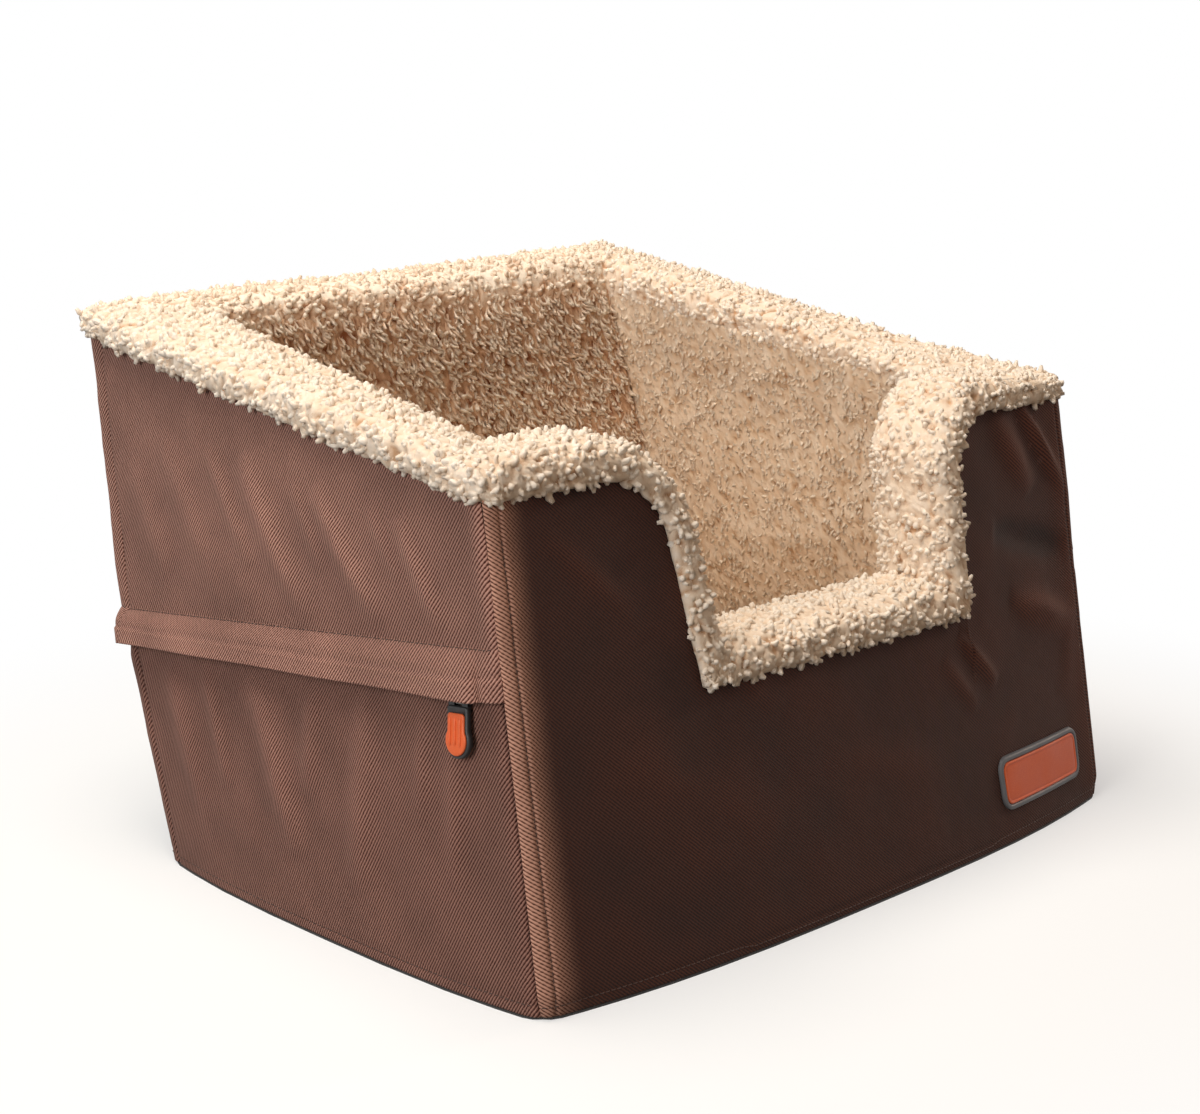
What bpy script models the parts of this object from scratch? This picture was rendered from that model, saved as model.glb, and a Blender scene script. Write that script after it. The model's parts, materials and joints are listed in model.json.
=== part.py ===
# Dog car seat: a padded fabric bucket with stiff boards, a fleece lining rolled over its rim as a cuff,
# an entry notch in front, and a zip under a flap round its sides and back. Metres, +Z up, front towards -Y.
import math

import bmesh
import bpy
import numpy as np
from mathutils import Matrix, Vector

# Outer size of the bucket, on the outer cloth
seat_width = 0.508  # across the front, at the floor
seat_depth = 0.3288  # front to back, at the floor
front_height = 0.2716  # floor to the top of the front wall's core, under the fleece
back_height = 0.3207  # floor to the top of the back wall's core
front_lean = 0.0458  # how far back the front wall's top stands
back_lean = 0.1081  # how far back the back wall's top stands
kink_height = 0.1317  # the back wall bends here, at the zip
kink_setback = 0.0611
front_narrowing = 0.0031  # each side comes in by this at the front top
back_narrowing = 0.0277  # and by this at the back top
corner_radius = 0.012
front_bow = 0.019  # outward swell of each wall at the floor
side_bow = 0.010
back_bow = 0.008
upper_bow = 0.003  # swell of the walls above the zip
bow_power = 3

# Layers of a wall
least_row = 0.003  # lowest row of faces
clearance = 0.0003  # between pieces that touch
layer_gap = 0.0005  # between the curved layers
cloth_thickness = 0.0012
board_offset = 0.0047  # outer face of the boards, behind the cloth and the zip
board_thickness = 0.003
foam_thickness = 0.0254
lining_thickness = 0.0123

# Floor of the bucket
base_board_thickness = 0.004
base_block_height = 0.044
deck_thickness = 0.003
pad_height = 0.032
pad_crown = 0.008
pad_radius = 0.030
pad_draw_in = 0.005
pad_gap = 0.0030

# Entry notch in the front wall's core
notch_floor = 0.1555
notch_half_low = 0.1085
notch_half_high = 0.1165
shoulder_radius = 0.0515
overrun = 0.030

# Rolled fleece cuff
cuff_drop = 0.0115  # hangs this far down the outside
cuff_inner_drop = 0.0134
cuff_rise = 0.0100
cuff_proud = 0.0065
cuff_inner_proud = 0.0050
cuff_power = 2.6
cuff_gap = 0.0006  # between its legs and the core, whose faces are flat between their columns

# Zip, its flap and its slider, left, back and right
zip_front_height = 0.1687  # middle of the teeth at the front corners
zip_back_height = kink_height
zip_offset = 0.0018  # middle of the teeth behind the cloth's face
zip_slot = 0.0110  # gap between the cloth edges
tape_width_low = 0.0150
tape_width_high = 0.0210
tape_thickness = 0.0005
tooth_row_width = 0.0020
tooth_thickness = 0.0022
row_gap = 0.0020
flap_drop = 0.0070  # from the middle of the teeth down to the flap's edge
flap_front_rise = 0.0193  # up to its line of stitches
flap_back_rise = 0.0133
flap_stand = 0.0055
flap_end_taper = 0.0095  # it comes down to its sewn end over this length
flap_thickness = 0.0013
fold_gap = 0.0020  # between the boards and the zip's line
end_inset = 0.0040  # from the right seam to the teeth
tape_inset = 0.0010
zip_park = 0.0165  # slider's middle behind the front seam, when closed
slider_length = 0.0110
slider_width = 0.0090
slider_plate = 0.0008
slider_room = 0.0002
slider_wedge_width = 0.0014
slider_rim = 0.0006
hinge_gap = 0.00025
lug_length = 0.0012
lug_rise = 0.0021
pin_radius = 0.00055
eye_wall = 0.0005
tab_width = 0.0048
tab_thickness = 0.0010
grip_pin_length = 0.0120
grip_pin_radius = 0.0007
grip_drop = 0.0030  # grip's hinge below the flap's edge
grip_length = 0.0285
grip_width = 0.0160
grip_end_radius = 0.0095
grip_thickness = 0.0036
grip_back = 0.0015  # from the hinge to the back of the grip, and the radius of its head
grip_fork = 0.0052
inlay_thickness = 0.0008
inlay_margin = 0.0016
inlay_drop = 0.0050  # from the hinge down to the inlay
inlay_rib_width = 0.0012
inlay_rib_height = 0.0005
stop_length = 0.0022
stop_gap = 0.0009

# Soft badge, low on the right of the front
badge_width = 0.097
badge_height = 0.033
badge_radius = 0.009
badge_from_side = 0.0774  # from the front's edge to the badge's middle
badge_z = 0.0370
badge_thickness = 0.0014
badge_margin = 0.0035
badge_relief = 0.0009

# Belt loops on the back, and the tether's ring inside
webbing_width = 0.038
webbing_thickness = 0.0014
loop_x = 0.115
loop_above_zip = 0.0403
loop_length = 0.090
loop_stand = 0.0105
loop_sewn = 0.0110  # length sewn flat at each end
loop_rise = 0.0200  # length over which it comes off the wall
tab_web_width = 0.0180
tab_web_length = 0.0300
tab_web_thickness = 0.0030
ring_height = 0.1640
ring_wire_radius = 0.0015
ring_half_width = 0.0125
ring_room = 0.0004

# Depths and heights that follow from those
foam_offset = board_offset + board_thickness + clearance
lining_depth = foam_offset + foam_thickness + layer_gap
core_depth = lining_depth + lining_thickness
wall_start = cloth_thickness + clearance
board_start = wall_start + base_board_thickness + clearance
block_top = board_start + base_block_height
deck_top = block_top + clearance + deck_thickness
lining_start = deck_top + clearance
teeth_half = row_gap / 2 + tooth_row_width
loop_low = kink_height + loop_above_zip
loop_high = loop_low + loop_length
badge_x = seat_width / 2 - badge_from_side
zip_bow = (zip_front_height - zip_back_height) * (back_narrowing / back_height - front_narrowing / front_height)

# Shares of a length where the columns of faces stand, and numbers of faces
side_shares = (0.09, 0.2, 0.35, 0.5, 0.65, 0.8, 0.91)
front_shares = (0.05, 0.1, 0.16, 0.23, 0.31, 0.4, 0.5, 0.6, 0.69, 0.77, 0.84, 0.9, 0.95)
arc_shares = (0, 0.5, 1)
sill_shares = (0, 0.3, 0.6, 0.85)
post_shares = (0.25, 0.6, 1)
post_top_shares = (0.25, 0.55, 0.8)
shoulder_steps = 6
cuff_steps = 10
cuff_tuck_share = 0.88
cuff_leg_shares = ((0.4, 1), (0.82, 0.88), (1, 0.5))
# Places round the rim and the share of its full rise that the crown has there: pressed flat at the front right
crown_at_shares = (0, 1, 1.25, 1.32, 1.4, 1.55, 1.67, 1.77, 1.92, 2, 2.5, 2.8, 2.93, 3, 3.06, 3.15, 4)
crown_rise_shares = (1, 0.22, 0.22, 0.4, 0.7, 0.82, 1.15, 1.35, 1.6, 1.7, 1.1, 0.9, 0.8, 0.5, 0.8, 0.95, 1)
flap_full_share = 0.5
flap_end_share = 0.32
flap_rows = 6
wall_levels = (0.3, 0.65, 1, 1.25, 1.5, 1.75)
corner_shares = (0, 0.3, 0.65, 1)
middle_shares = (0.2, 0.4, 0.6, 0.8)
pad_middle_shares = (0.12, 0.25, 0.375, 0.5, 0.625, 0.75, 0.88)
pad_power = 4
grip_steps = 14
rib_spread_share = 0.62
ring_steps = 10
ring_neck_share = 0.35
round_steps = 16
inward = ((1, 1), (-1, 1), (-1, -1), (1, -1))  # from each corner: front left, front right, back right, back left
outward = ((0, -1), (1, 0), (0, 1), (-1, 0))  # of each side: front, right, back, left
front, right, back, left = range(4)

for old in list(bpy.data.objects):
    bpy.data.objects.remove(old)
walls = bpy.data.collections.new("dog_car_seat")
cutters = bpy.data.collections.new("cutters")
bpy.context.scene.collection.children.link(walls)
bpy.context.scene.collection.children.link(cutters)


def named_material(name, colour, roughness, metallic=0):
    material = bpy.data.materials.new(name)
    material.use_nodes = True
    shader = material.node_tree.nodes["Principled BSDF"]
    shader.inputs["Base Color"].default_value = (*colour, 1)
    shader.inputs["Roughness"].default_value = roughness
    shader.inputs["Metallic"].default_value = metallic
    material.diffuse_color = (*colour, 1)
    return material


# Fills a mesh with the shape, its faces turned outwards
def closed_mesh(name, shape):
    mesh = bpy.data.meshes.new(name)
    bmesh.ops.recalc_face_normals(shape, faces=shape.faces)
    if shape.calc_volume(signed=True) < 0:
        bmesh.ops.reverse_faces(shape, faces=shape.faces)
    shape.to_mesh(mesh)
    shape.free()
    return mesh


def add_object(name, shape, material, smooth=False):
    mesh = closed_mesh(name, shape)
    mesh.materials.append(material)
    if smooth:
        mesh.shade_smooth()
        mesh.set_sharp_from_angle(angle=math.radians(50))
    piece = bpy.data.objects.new(name, mesh)
    walls.objects.link(piece)
    return piece


def add_cutter(name, shape):
    cutter = bpy.data.objects.new(name, closed_mesh(name, shape))
    cutter.hide_render = True
    cutter.display_type = "WIRE"
    cutters.objects.link(cutter)
    return cutter


def combine(piece, other, operation):
    boolean = piece.modifiers.new(other.name, "BOOLEAN")
    boolean.operation = operation
    boolean.object = other
    boolean.solver = "EXACT"


# How far behind the base's rear edge the back wall stands at a height
def back_setback(height):
    low = kink_setback * height / kink_height
    rise_share = (height - kink_height) / (back_height - kink_height)
    return np.where(height < kink_height, low, kink_setback + (back_lean - kink_setback) * rise_share)


# The outline's four corners at a height, as sharp ones, drawn in by a depth
def sharp_corners(height, depth):
    front_x = seat_width / 2 - front_narrowing * height / front_height - depth
    back_x = seat_width / 2 - back_narrowing * height / back_height - depth
    front_y = -seat_depth / 2 + front_lean * height / front_height + depth
    back_y = seat_depth / 2 + back_setback(height) - depth
    return ((-front_x, front_y), (front_x, front_y), (back_x, back_y), (-back_x, back_y))


def rim_height(place):
    side, share = np.floor(place) % 4, place - np.floor(place)
    rise = np.where(side == right, share, np.where(side == left, 1 - share, np.where(side == back, 1, 0)))
    return front_height + (back_height - front_height) * rise


def zip_height(place):
    side, share = np.floor(place) % 4, place - np.floor(place)
    back_part = np.where(side == right, share, np.where(side == left, 1 - share, np.where(side == back, 1, 0)))
    return zip_front_height + (zip_back_height - zip_front_height) * back_part


# Outward swell of a side: largest at the floor, none at the zip or the front's top
def bow_of(side, share, height):
    plan = 1 - np.abs(2 * share - 1) ** bow_power
    zip_line = zip_height(side + share)
    low = np.clip(1 - height / zip_line, 0, 1)
    high_share = np.clip((height - zip_line) / (rim_height(side + share) - zip_line), 0, 1)
    high = upper_bow * np.sin(np.pi * high_share)
    front_part = front_bow * np.clip(1 - height / front_height, 0, 1)
    swell = np.where(side == back, back_bow, side_bow) * low + high
    # This much keeps the zip straight on the sides, which twist as they narrow
    straight = np.where(side % 2 == 1, zip_bow * share * (1 - share) * (1 - high_share), 0)
    return plan * np.where(side == front, front_part, swell) + straight


# Turns the square corner of radius corner_radius into a round one: each square ring about the corner's
# centre becomes a circle
def round_corners(x, y, height):
    for (sx, sy), (cx, cy) in zip(inward, sharp_corners(height, 0)):
        along = (x - cx) * sx - corner_radius
        across = (y - cy) * sy - corner_radius
        near = (along < 0) & (across < 0)
        longest = np.maximum(np.abs(along), np.abs(across))
        shrink = np.where(near, longest / np.maximum(np.hypot(along, across), clearance / 1000), 1)
        x = np.where(near, cx + sx * (corner_radius + along * shrink), x)
        y = np.where(near, cy + sy * (corner_radius + across * shrink), y)
    return x, y


# A point of the wall: place counts sides round the bucket from the front left corner, depth is inwards
def wall_point(place, height, depth):
    place, height, depth = np.broadcast_arrays(place, height, depth)
    side = np.floor(place).astype(int) % 4
    share = place - np.floor(place)
    corner = np.array([[np.broadcast_to(v, place.shape) for v in c] for c in sharp_corners(height, depth)])
    pick = np.arange(place.size).reshape(place.shape)
    flat = corner.reshape(4, 2, -1)
    start = flat[side.ravel(), :, pick.ravel()]
    end = flat[(side.ravel() + 1) % 4, :, pick.ravel()]
    plan = start + (end - start) * share.reshape(-1, 1)
    x, y = round_corners(plan[:, 0].reshape(place.shape), plan[:, 1].reshape(place.shape), height)
    bow = bow_of(side, share, height)
    normal = np.array(outward)[side]
    return np.stack([x + normal[..., 0] * bow, y + normal[..., 1] * bow, height], axis=-1)


# A point of the front wall by its width and height
def front_point(x, height, depth):
    half = seat_width / 2 - front_narrowing * height / front_height
    y = -seat_depth / 2 + front_lean * height / front_height + depth
    x, y = round_corners(x, y + 0 * x, height)
    share = np.clip((x + half) / (2 * half), 0, 1)
    return np.stack([x, y - bow_of(front, share, height), height + 0 * x], axis=-1)


def side_length(side):
    return seat_width if side in (front, back) else seat_depth


def arc_places(side, from_end=False):
    reach = corner_radius / side_length(side)
    places = [side + reach * share for share in arc_shares]
    return [2 * side + 1 - place for place in reversed(places)] if from_end else places


# Columns of one side, from corner to corner
def side_places(side):
    shares = front_shares if side == front else side_shares
    return arc_places(side) + [side + share for share in shares] + arc_places(side, True)


# Columns of a side that also goes round both its corners, up to where the arcs end
def wrapped_places(side):
    before = [side - reach for reach in reversed(arc_reaches((side - 1) % 4))]
    after = [side + 1 + reach for reach in arc_reaches((side + 1) % 4)]
    return before + side_places(side) + after


def arc_reaches(side):
    return [corner_radius / side_length(side) * share for share in arc_shares if share > 0]


def trim(places, gap):
    start = places[0] + gap / side_length(math.floor(places[0]) % 4)
    end = places[-1] - gap / side_length(math.ceil(places[-1] - 1) % 4)
    return [start] + list(places[1:-1]) + [end]


# A closed unit block, columns by rows, whose corners run from 0 to 1
def unit_block(columns, rows):
    block = bmesh.new()
    bmesh.ops.create_grid(block, x_segments=columns, y_segments=rows, size=0.5)
    made = bmesh.ops.extrude_face_region(block, geom=block.faces[:])
    lifted = [v for v in made["geom"] if isinstance(v, bmesh.types.BMVert)]
    bmesh.ops.translate(block, verts=lifted, vec=(0, 0, 1))
    bmesh.ops.translate(block, verts=block.verts, vec=(0.5, 0.5, 0))
    return block


# Moves every vertex of a unit block to where bend(u, v, w) says
def bent_block(columns, rows, bend):
    block = unit_block(columns, rows)
    unit = np.array([v.co for v in block.verts])
    for vertex, point in zip(block.verts, bend(unit[:, 0], unit[:, 1], unit[:, 2])):
        vertex.co = point
    return block


# Height of a level of the walls: 0 at the floor, 1 at the zip's line, 2 at the rim
def level_height(place, level):
    zip_line = zip_height(place)
    return np.where(level <= 1, zip_line * level, zip_line + (rim_height(place) - zip_line) * (level - 1))


# A curved plate of the wall between two depths, from a lower to an upper line. Every plate has its rows of
# faces at the same levels, so that the layers fit.
def wall_plate(name, places, low, high, outer, inner, material, smooth=False):
    stations = np.array(places)
    low_line = low(stations) if callable(low) else low + 0 * stations
    high_line = high(stations)
    lines = [low_line]
    for level in wall_levels:
        line = level_height(stations, level)
        if np.all(line > low_line + least_row) and np.all(line < high_line - least_row):
            lines.append(line)
    lines = np.array(lines + [high_line])

    def bend(u, v, w):
        column = np.rint(u * (len(stations) - 1)).astype(int)
        row = np.rint(v * (len(lines) - 1)).astype(int)
        return wall_point(stations[column], lines[row, column], outer + (inner - outer) * w)

    return add_object(name, bent_block(len(stations) - 1, len(lines) - 1, bend), material, smooth)


# A level plate inside the outline, extruded from one face and following the walls' slope
def floor_plate(name, depth, low, high, material):
    places = np.array([p for side in range(4) for p in side_places(side)[:-1]])
    plate = bmesh.new()
    bottom = [plate.verts.new(p) for p in wall_point(places, low, depth)]
    made = bmesh.ops.extrude_face_region(plate, geom=[plate.faces.new(bottom)])
    tops = [v for v in made["geom"] if isinstance(v, bmesh.types.BMVert)]
    order = {tuple(v.co): i for i, v in enumerate(bottom)}
    upper = wall_point(places, high, depth)
    for vertex in tops:
        vertex.co = upper[order[tuple(vertex.co)]]
    return add_object(name, plate, material)


# A closed skin from rows of points: each row is one closed section, and the ends are capped
def lofted(sections):
    rows, ring = sections.shape[0], sections.shape[1]
    skin = bmesh.new()
    bmesh.ops.create_grid(skin, x_segments=rows - 1, y_segments=ring, size=0.5)
    for vertex in skin.verts:
        row = round((vertex.co.x + 0.5) * (rows - 1))
        column = round((vertex.co.y + 0.5) * ring) % ring
        vertex.co = sections[row, column]
    bmesh.ops.remove_doubles(skin, verts=skin.verts, dist=clearance / 1000)
    rims = [edge for edge in skin.edges if edge.is_boundary]
    bmesh.ops.holes_fill(skin, edges=rims, sides=0)
    return skin


# Right half of the notch's edge in the front wall, from its middle up past the shoulder to the post's top:
# x, z and the direction off the wall's material. A widening moves the edge into the material.
def notch_edge(widening=0):
    low, high = notch_half_low + widening, notch_half_high + widening
    radius = shoulder_radius - widening
    shoulder_x, shoulder_z = notch_half_high + shoulder_radius, front_height - shoulder_radius
    floor = notch_floor - widening
    sill = [(low * share, floor, 0, 1) for share in sill_shares] + [(low, floor, -1, 1)]
    post = [(low, floor, -1, 1)]
    for share in post_shares:
        post.append((low + (high - low) * share, floor + (shoulder_z - floor) * share, -1, 0))
    for step in range(1, shoulder_steps + 1):
        angle = math.pi / 2 * step / shoulder_steps
        across, up = -math.cos(angle), math.sin(angle)
        post.append((shoulder_x + radius * across, shoulder_z + radius * up, across, up))
    return sill, post


def notch_cutter(name, widening):
    half = [(x, z) for x, z, _, _ in notch_edge(widening)[1]]
    half.append((half[-1][0], back_height + overrun))
    outline = half + [(-x, z) for x, z in reversed(half)]
    prism = bmesh.new()
    face = prism.faces.new([prism.verts.new((x, -seat_depth / 2 - overrun, z)) for x, z in outline])
    made = bmesh.ops.extrude_face_region(prism, geom=[face])
    moved = [v for v in made["geom"] if isinstance(v, bmesh.types.BMVert)]
    reach = front_lean + board_offset + foam_thickness + lining_thickness + 3 * overrun
    bmesh.ops.translate(prism, verts=moved, vec=(0, reach, 0))
    return add_cutter(name, prism)


# The cuff's section as depth into the wall and height over the core's top: a superellipse over the rim,
# with one leg down the outside and one down the inside
def cuff_section():
    outer_leg = [(-cuff_gap, clearance), (-cuff_gap, -cuff_drop * cuff_tuck_share)]
    middle = (core_depth + cuff_inner_proud - cuff_proud) / 2
    half = (core_depth + cuff_inner_proud + cuff_proud) / 2
    crown = []
    for step in range(cuff_steps + 1):
        angle = math.pi * step / cuff_steps
        across, up = math.cos(angle), abs(math.sin(angle))
        reach = math.copysign(abs(across) ** (2 / cuff_power), -across)
        crown.append((middle + half * reach, cuff_rise * up ** (2 / cuff_power)))
    outer_leg += [(-cuff_proud * x, -cuff_drop * z) for x, z in cuff_leg_shares]
    inner_leg = [(core_depth + cuff_inner_proud * x, -cuff_inner_drop * z) for x, z in reversed(cuff_leg_shares)]
    inner_leg += [(lining_depth + clearance, -cuff_inner_drop), (lining_depth + clearance, clearance)]
    return outer_leg + crown + inner_leg


# The section's heights with its crown scaled by a share
def crown_height(heights, share):
    return np.where(heights > clearance, heights * share, heights)


def side_cuff(name, places):
    section = np.array(cuff_section())
    place = np.array(trim(places, clearance))[:, None]
    heights = crown_height(section[None, :, 1], np.interp(place, crown_at_shares, crown_rise_shares))
    points = wall_point(place, rim_height(place) + heights, section[None, :, 0])
    return add_object(name, lofted(points), fleece, smooth=True)


# One stretch of the front cuff from stations of the notch's edge, mirrored for the other side. The mitre share
# turns the section's end at the bucket's corner, where the crown has the corner's share of its rise.
def front_cuff(name, stations, mirror=1, corner_share=1):
    section = np.array(cuff_section())
    x, z, across, up, mitre = (np.array(column)[:, None] for column in zip(*stations))
    depth = section[None, :, 0]
    height = crown_height(section[None, :, 1], 1 + (corner_share - 1) * mitre)
    points = front_point(x + across * height - mitre * depth, z + up * height, depth)
    points[..., 0] *= mirror
    return add_object(name, lofted(points), fleece, smooth=True)


def front_cuff_stations():
    sill, post = notch_edge()
    half_sill = [(x, z, a, u, 0) for x, z, a, u in sill]
    end_x, *rest = half_sill[-1]
    half_sill[-1] = (end_x - clearance, *rest)
    sill_row = [(-x, z, -a, u, m) for x, z, a, u, m in reversed(half_sill[1:])] + half_sill
    post_row = [(x, z, a, u, 0) for x, z, a, u in post]
    x, z, *rest = post_row[0]
    post_row[0] = (x, z + clearance, *rest)
    start = post_row[-1][0]
    end = seat_width / 2 - front_narrowing
    for share in post_top_shares:
        reach = (end - corner_radius - start) * share
        post_row.append((start + reach, front_height, 0, 1, reach / (end - start)))
    for share in arc_shares:
        x = end - corner_radius * (1 - share)
        post_row.append((x - clearance * (share == 1), front_height, 0, 1, (x - start) / (end - start)))
    return sill_row, post_row


# A point by its place along the zip, height over the teeth's middle and depth: as wall_point, but straight
# along each side, so that the slider can run there
def zip_point(place, rise, depth):
    place, rise, depth = np.broadcast_arrays(place, rise, depth)
    point = wall_point(place, zip_height(place) + rise, depth)
    for side in (right, left):
        reach = corner_radius / side_length(side)
        low, high = side + reach, side + 1 - reach
        start = wall_point(low + 0 * place, zip_height(low) + rise, depth)
        end = wall_point(high + 0 * place, zip_height(high) + rise, depth)
        share = np.clip((place - low) / (high - low), 0, 1)[..., None]
        inside = ((place >= low) & (place <= high))[..., None]
        point = np.where(inside, start + (end - start) * share, point)
    return point


# A place on the straight run of a side's zip, by the distance from its front end
def zip_place(side, distance):
    reach = corner_radius / seat_depth
    share = distance / zip_run() * (1 - 2 * reach)
    return side + reach + share if side == right else side + 1 - reach - share


def zip_run():
    reach = corner_radius / seat_depth
    ends = [zip_point(np.array(place), 0, zip_offset) for place in (left + reach, left + 1 - reach)]
    return float(np.linalg.norm(ends[1] - ends[0]))


# A strip along the zip, from the right front round the back to the left front
def zip_strip(name, right_end, left_end, section, material):
    round_back = [right + 1 - r for r in reversed(arc_reaches(right))] + side_places(back)
    round_back += [left + r for r in arc_reaches(left)]
    place = np.array([zip_place(right, right_end)] + round_back + [zip_place(left, left_end)])[:, None]
    rise, depth = (np.array(column)[None, :] for column in zip(*section))
    return add_object(name, lofted(zip_point(place, rise, depth)), material)


def box_section(low, high, outer, inner):
    return [(low, outer), (low, inner), (high, inner), (high, outer)]


# The flap over the zip, flush at its stitches and standing off the zip at its free edge. It comes down at a
# front end, where the front seam holds it.
def zip_flap(name, places, side):
    stations = np.array(trim(places, clearance / 2))
    front_end = side + 1 if side == left else side

    def bend(u, v, w):
        place = stations[np.rint(u * (len(stations) - 1)).astype(int)]
        top = flap_top(place) - clearance
        bottom = zip_height(place) - flap_drop
        from_end = np.abs(place - front_end) * seat_depth - corner_radius
        ease = np.clip(from_end / flap_end_taper, flap_end_share, 1) if side != back else 1
        lift = flap_stand * ease * np.sin(np.pi / 2 * np.clip((1 - v) / flap_full_share, 0, 1))
        return wall_point(place, bottom + (top - bottom) * v, flap_thickness * w - lift)

    return add_object(name, bent_block(len(stations) - 1, flap_rows, bend), cloth, smooth=True)


def flap_top(place):
    back_share = (zip_height(place) - zip_front_height) / (zip_back_height - zip_front_height)
    return zip_height(place) + flap_front_rise + (flap_back_rise - flap_front_rise) * back_share


# A box, cylinder or outline in a piece's own frame
def box(size, centre):
    shape = bmesh.new()
    bmesh.ops.create_cube(shape, size=1)
    bmesh.ops.scale(shape, verts=shape.verts, vec=size)
    bmesh.ops.translate(shape, verts=shape.verts, vec=centre)
    return shape


def rod(radius, length, centre):
    shape = bmesh.new()
    bmesh.ops.create_cone(
        shape, cap_ends=True, segments=round_steps, radius1=radius, radius2=radius, depth=length
    )
    bmesh.ops.rotate(shape, verts=shape.verts, matrix=Matrix.Rotation(math.pi / 2, 3, "Y"))
    bmesh.ops.translate(shape, verts=shape.verts, vec=centre)
    return shape


def prism(outline, low, high):
    shape = bmesh.new()
    face = shape.faces.new([shape.verts.new((x, y, low)) for x, y in outline])
    made = bmesh.ops.extrude_face_region(shape, geom=[face])
    moved = [v for v in made["geom"] if isinstance(v, bmesh.types.BMVert)]
    bmesh.ops.translate(shape, verts=moved, vec=(0, 0, high - low))
    return shape


def placed(piece, frame):
    piece.matrix_world = frame
    return piece


# The slider's frame: x runs forwards along the left zip, y up the wall, z out of it
def slider_frame():
    reach = corner_radius / seat_depth
    front_end = zip_point(np.array(left + 1 - reach), 0, zip_offset)
    back_end = zip_point(np.array(left + reach), 0, zip_offset)
    forward = Vector(front_end - back_end).normalized()
    middle = np.array(left + 0.5)
    rise = Vector(zip_point(middle, flap_drop, zip_offset) - zip_point(middle, -flap_drop, zip_offset))
    out = forward.cross(rise).normalized()
    up = out.cross(forward)
    place = Vector(front_end) - forward * zip_park
    frame = Matrix((forward, up, out)).transposed().to_4x4()
    frame.translation = place
    return frame


def make_slider(frame):
    room = tooth_thickness / 2 + slider_room
    height = room + slider_plate
    slider = placed(add_object("zip_slider", box((slider_length, slider_width, 2 * height), (0, 0, 0)), metal), frame)
    half = teeth_half + slider_room
    wedge, end = slider_wedge_width / 2, slider_length / 2 + overrun
    nose = slider_length / 4
    outline = [(-end, -half), (end, -half), (end, -wedge), (nose, -wedge), (nose - wedge, 0)]
    outline += [(nose, wedge), (end, wedge), (end, half), (-end, half)]
    channel = placed(add_cutter("slider_channel", prism(outline, -room, room)), frame)
    combine(slider, channel, "DIFFERENCE")
    slot = 2 * (room - slider_rim)
    for sign, side_name in ((-1, "low"), (1, "high")):
        middle = sign * (half + slider_width / 2)
        slot_box = box((2 * end, slider_width, slot), (0, middle - sign * clearance, 0))
        combine(slider, placed(add_cutter("slider_slot_" + side_name, slot_box), frame), "DIFFERENCE")
    pin_z = height + lug_rise
    lug_x = tab_width / 2 + hinge_gap + lug_length / 2
    for sign, end_name in ((-1, "back"), (1, "front")):
        low, high = height - slider_plate / 2, pin_z + pin_radius + eye_wall
        lug = box((lug_length, 4 * pin_radius, high - low), (sign * lug_x, 0, (low + high) / 2))
        combine(slider, placed(add_cutter("slider_lug_" + end_name, lug), frame), "UNION")
    pin = rod(pin_radius, 2 * lug_x, (0, 0, pin_z))
    combine(slider, placed(add_cutter("slider_pin", pin), frame), "UNION")
    return pin_z


# The metal tab under the flap: an eye round the slider's pin, a plate, and a cross pin for the grip
def make_tab(frame, drop):
    eye = pin_radius + hinge_gap + eye_wall
    plate = box((tab_width, drop, tab_thickness), (0, -drop / 2, 0))
    tab = placed(add_object("zip_tab", plate, metal), frame)
    combine(tab, placed(add_cutter("tab_eye", rod(eye, tab_width, (0, 0, 0))), frame), "UNION")
    cross_pin = rod(grip_pin_radius, grip_pin_length, (0, -drop, 0))
    combine(tab, placed(add_cutter("tab_cross_pin", cross_pin), frame), "UNION")
    bore = rod(pin_radius + hinge_gap, 2 * tab_width, (0, 0, 0))
    combine(tab, placed(add_cutter("tab_bore", bore), frame), "DIFFERENCE")


# Outline of the grip and its inlay: straight sides that swell into a round end, drawn in by a margin
def grip_outline(margin, top):
    radius, half = grip_end_radius - margin, grip_width / 2 - margin
    centre = grip_end_radius - grip_length
    start = math.acos(half / radius)
    points = [(half, top), (-half, top)]
    for step in range(grip_steps + 1):
        angle = math.pi - start + (math.pi + 2 * start) * step / grip_steps
        points.append((radius * math.cos(angle), centre + radius * math.sin(angle)))
    return points


def make_grip(frame):
    back_face = -grip_back
    outline = grip_outline(0, 0)
    grip = placed(add_object("zip_grip", prism(outline, back_face, back_face + grip_thickness), rubber), frame)
    head = rod(grip_back, grip_width, (0, 0, 0))
    combine(grip, placed(add_cutter("grip_head", head), frame), "UNION")
    fork = box((grip_fork, 4 * grip_back, 4 * grip_thickness), (0, grip_back, 0))
    combine(grip, placed(add_cutter("grip_fork_cut", fork), frame), "DIFFERENCE")
    bore = rod(grip_pin_radius + hinge_gap, 2 * grip_width, (0, 0, 0))
    combine(grip, placed(add_cutter("grip_bore", bore), frame), "DIFFERENCE")
    face = back_face + grip_thickness + clearance
    shape = prism(grip_outline(inlay_margin, -inlay_drop), face, face + inlay_thickness)
    inlay = placed(add_object("zip_grip_inlay", shape, orange), frame)
    rib_length = grip_length - inlay_drop - 2 * inlay_margin - grip_end_radius
    for number in (-1, 0, 1):
        x = number * (grip_width / 2 - inlay_margin) * rib_spread_share
        centre = (x, -inlay_drop - inlay_margin - rib_length / 2, face + inlay_thickness)
        rib = box((inlay_rib_width, rib_length, 2 * inlay_rib_height), centre)
        combine(inlay, placed(add_cutter(f"inlay_rib_{number + 1}", rib), frame), "UNION")


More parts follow.
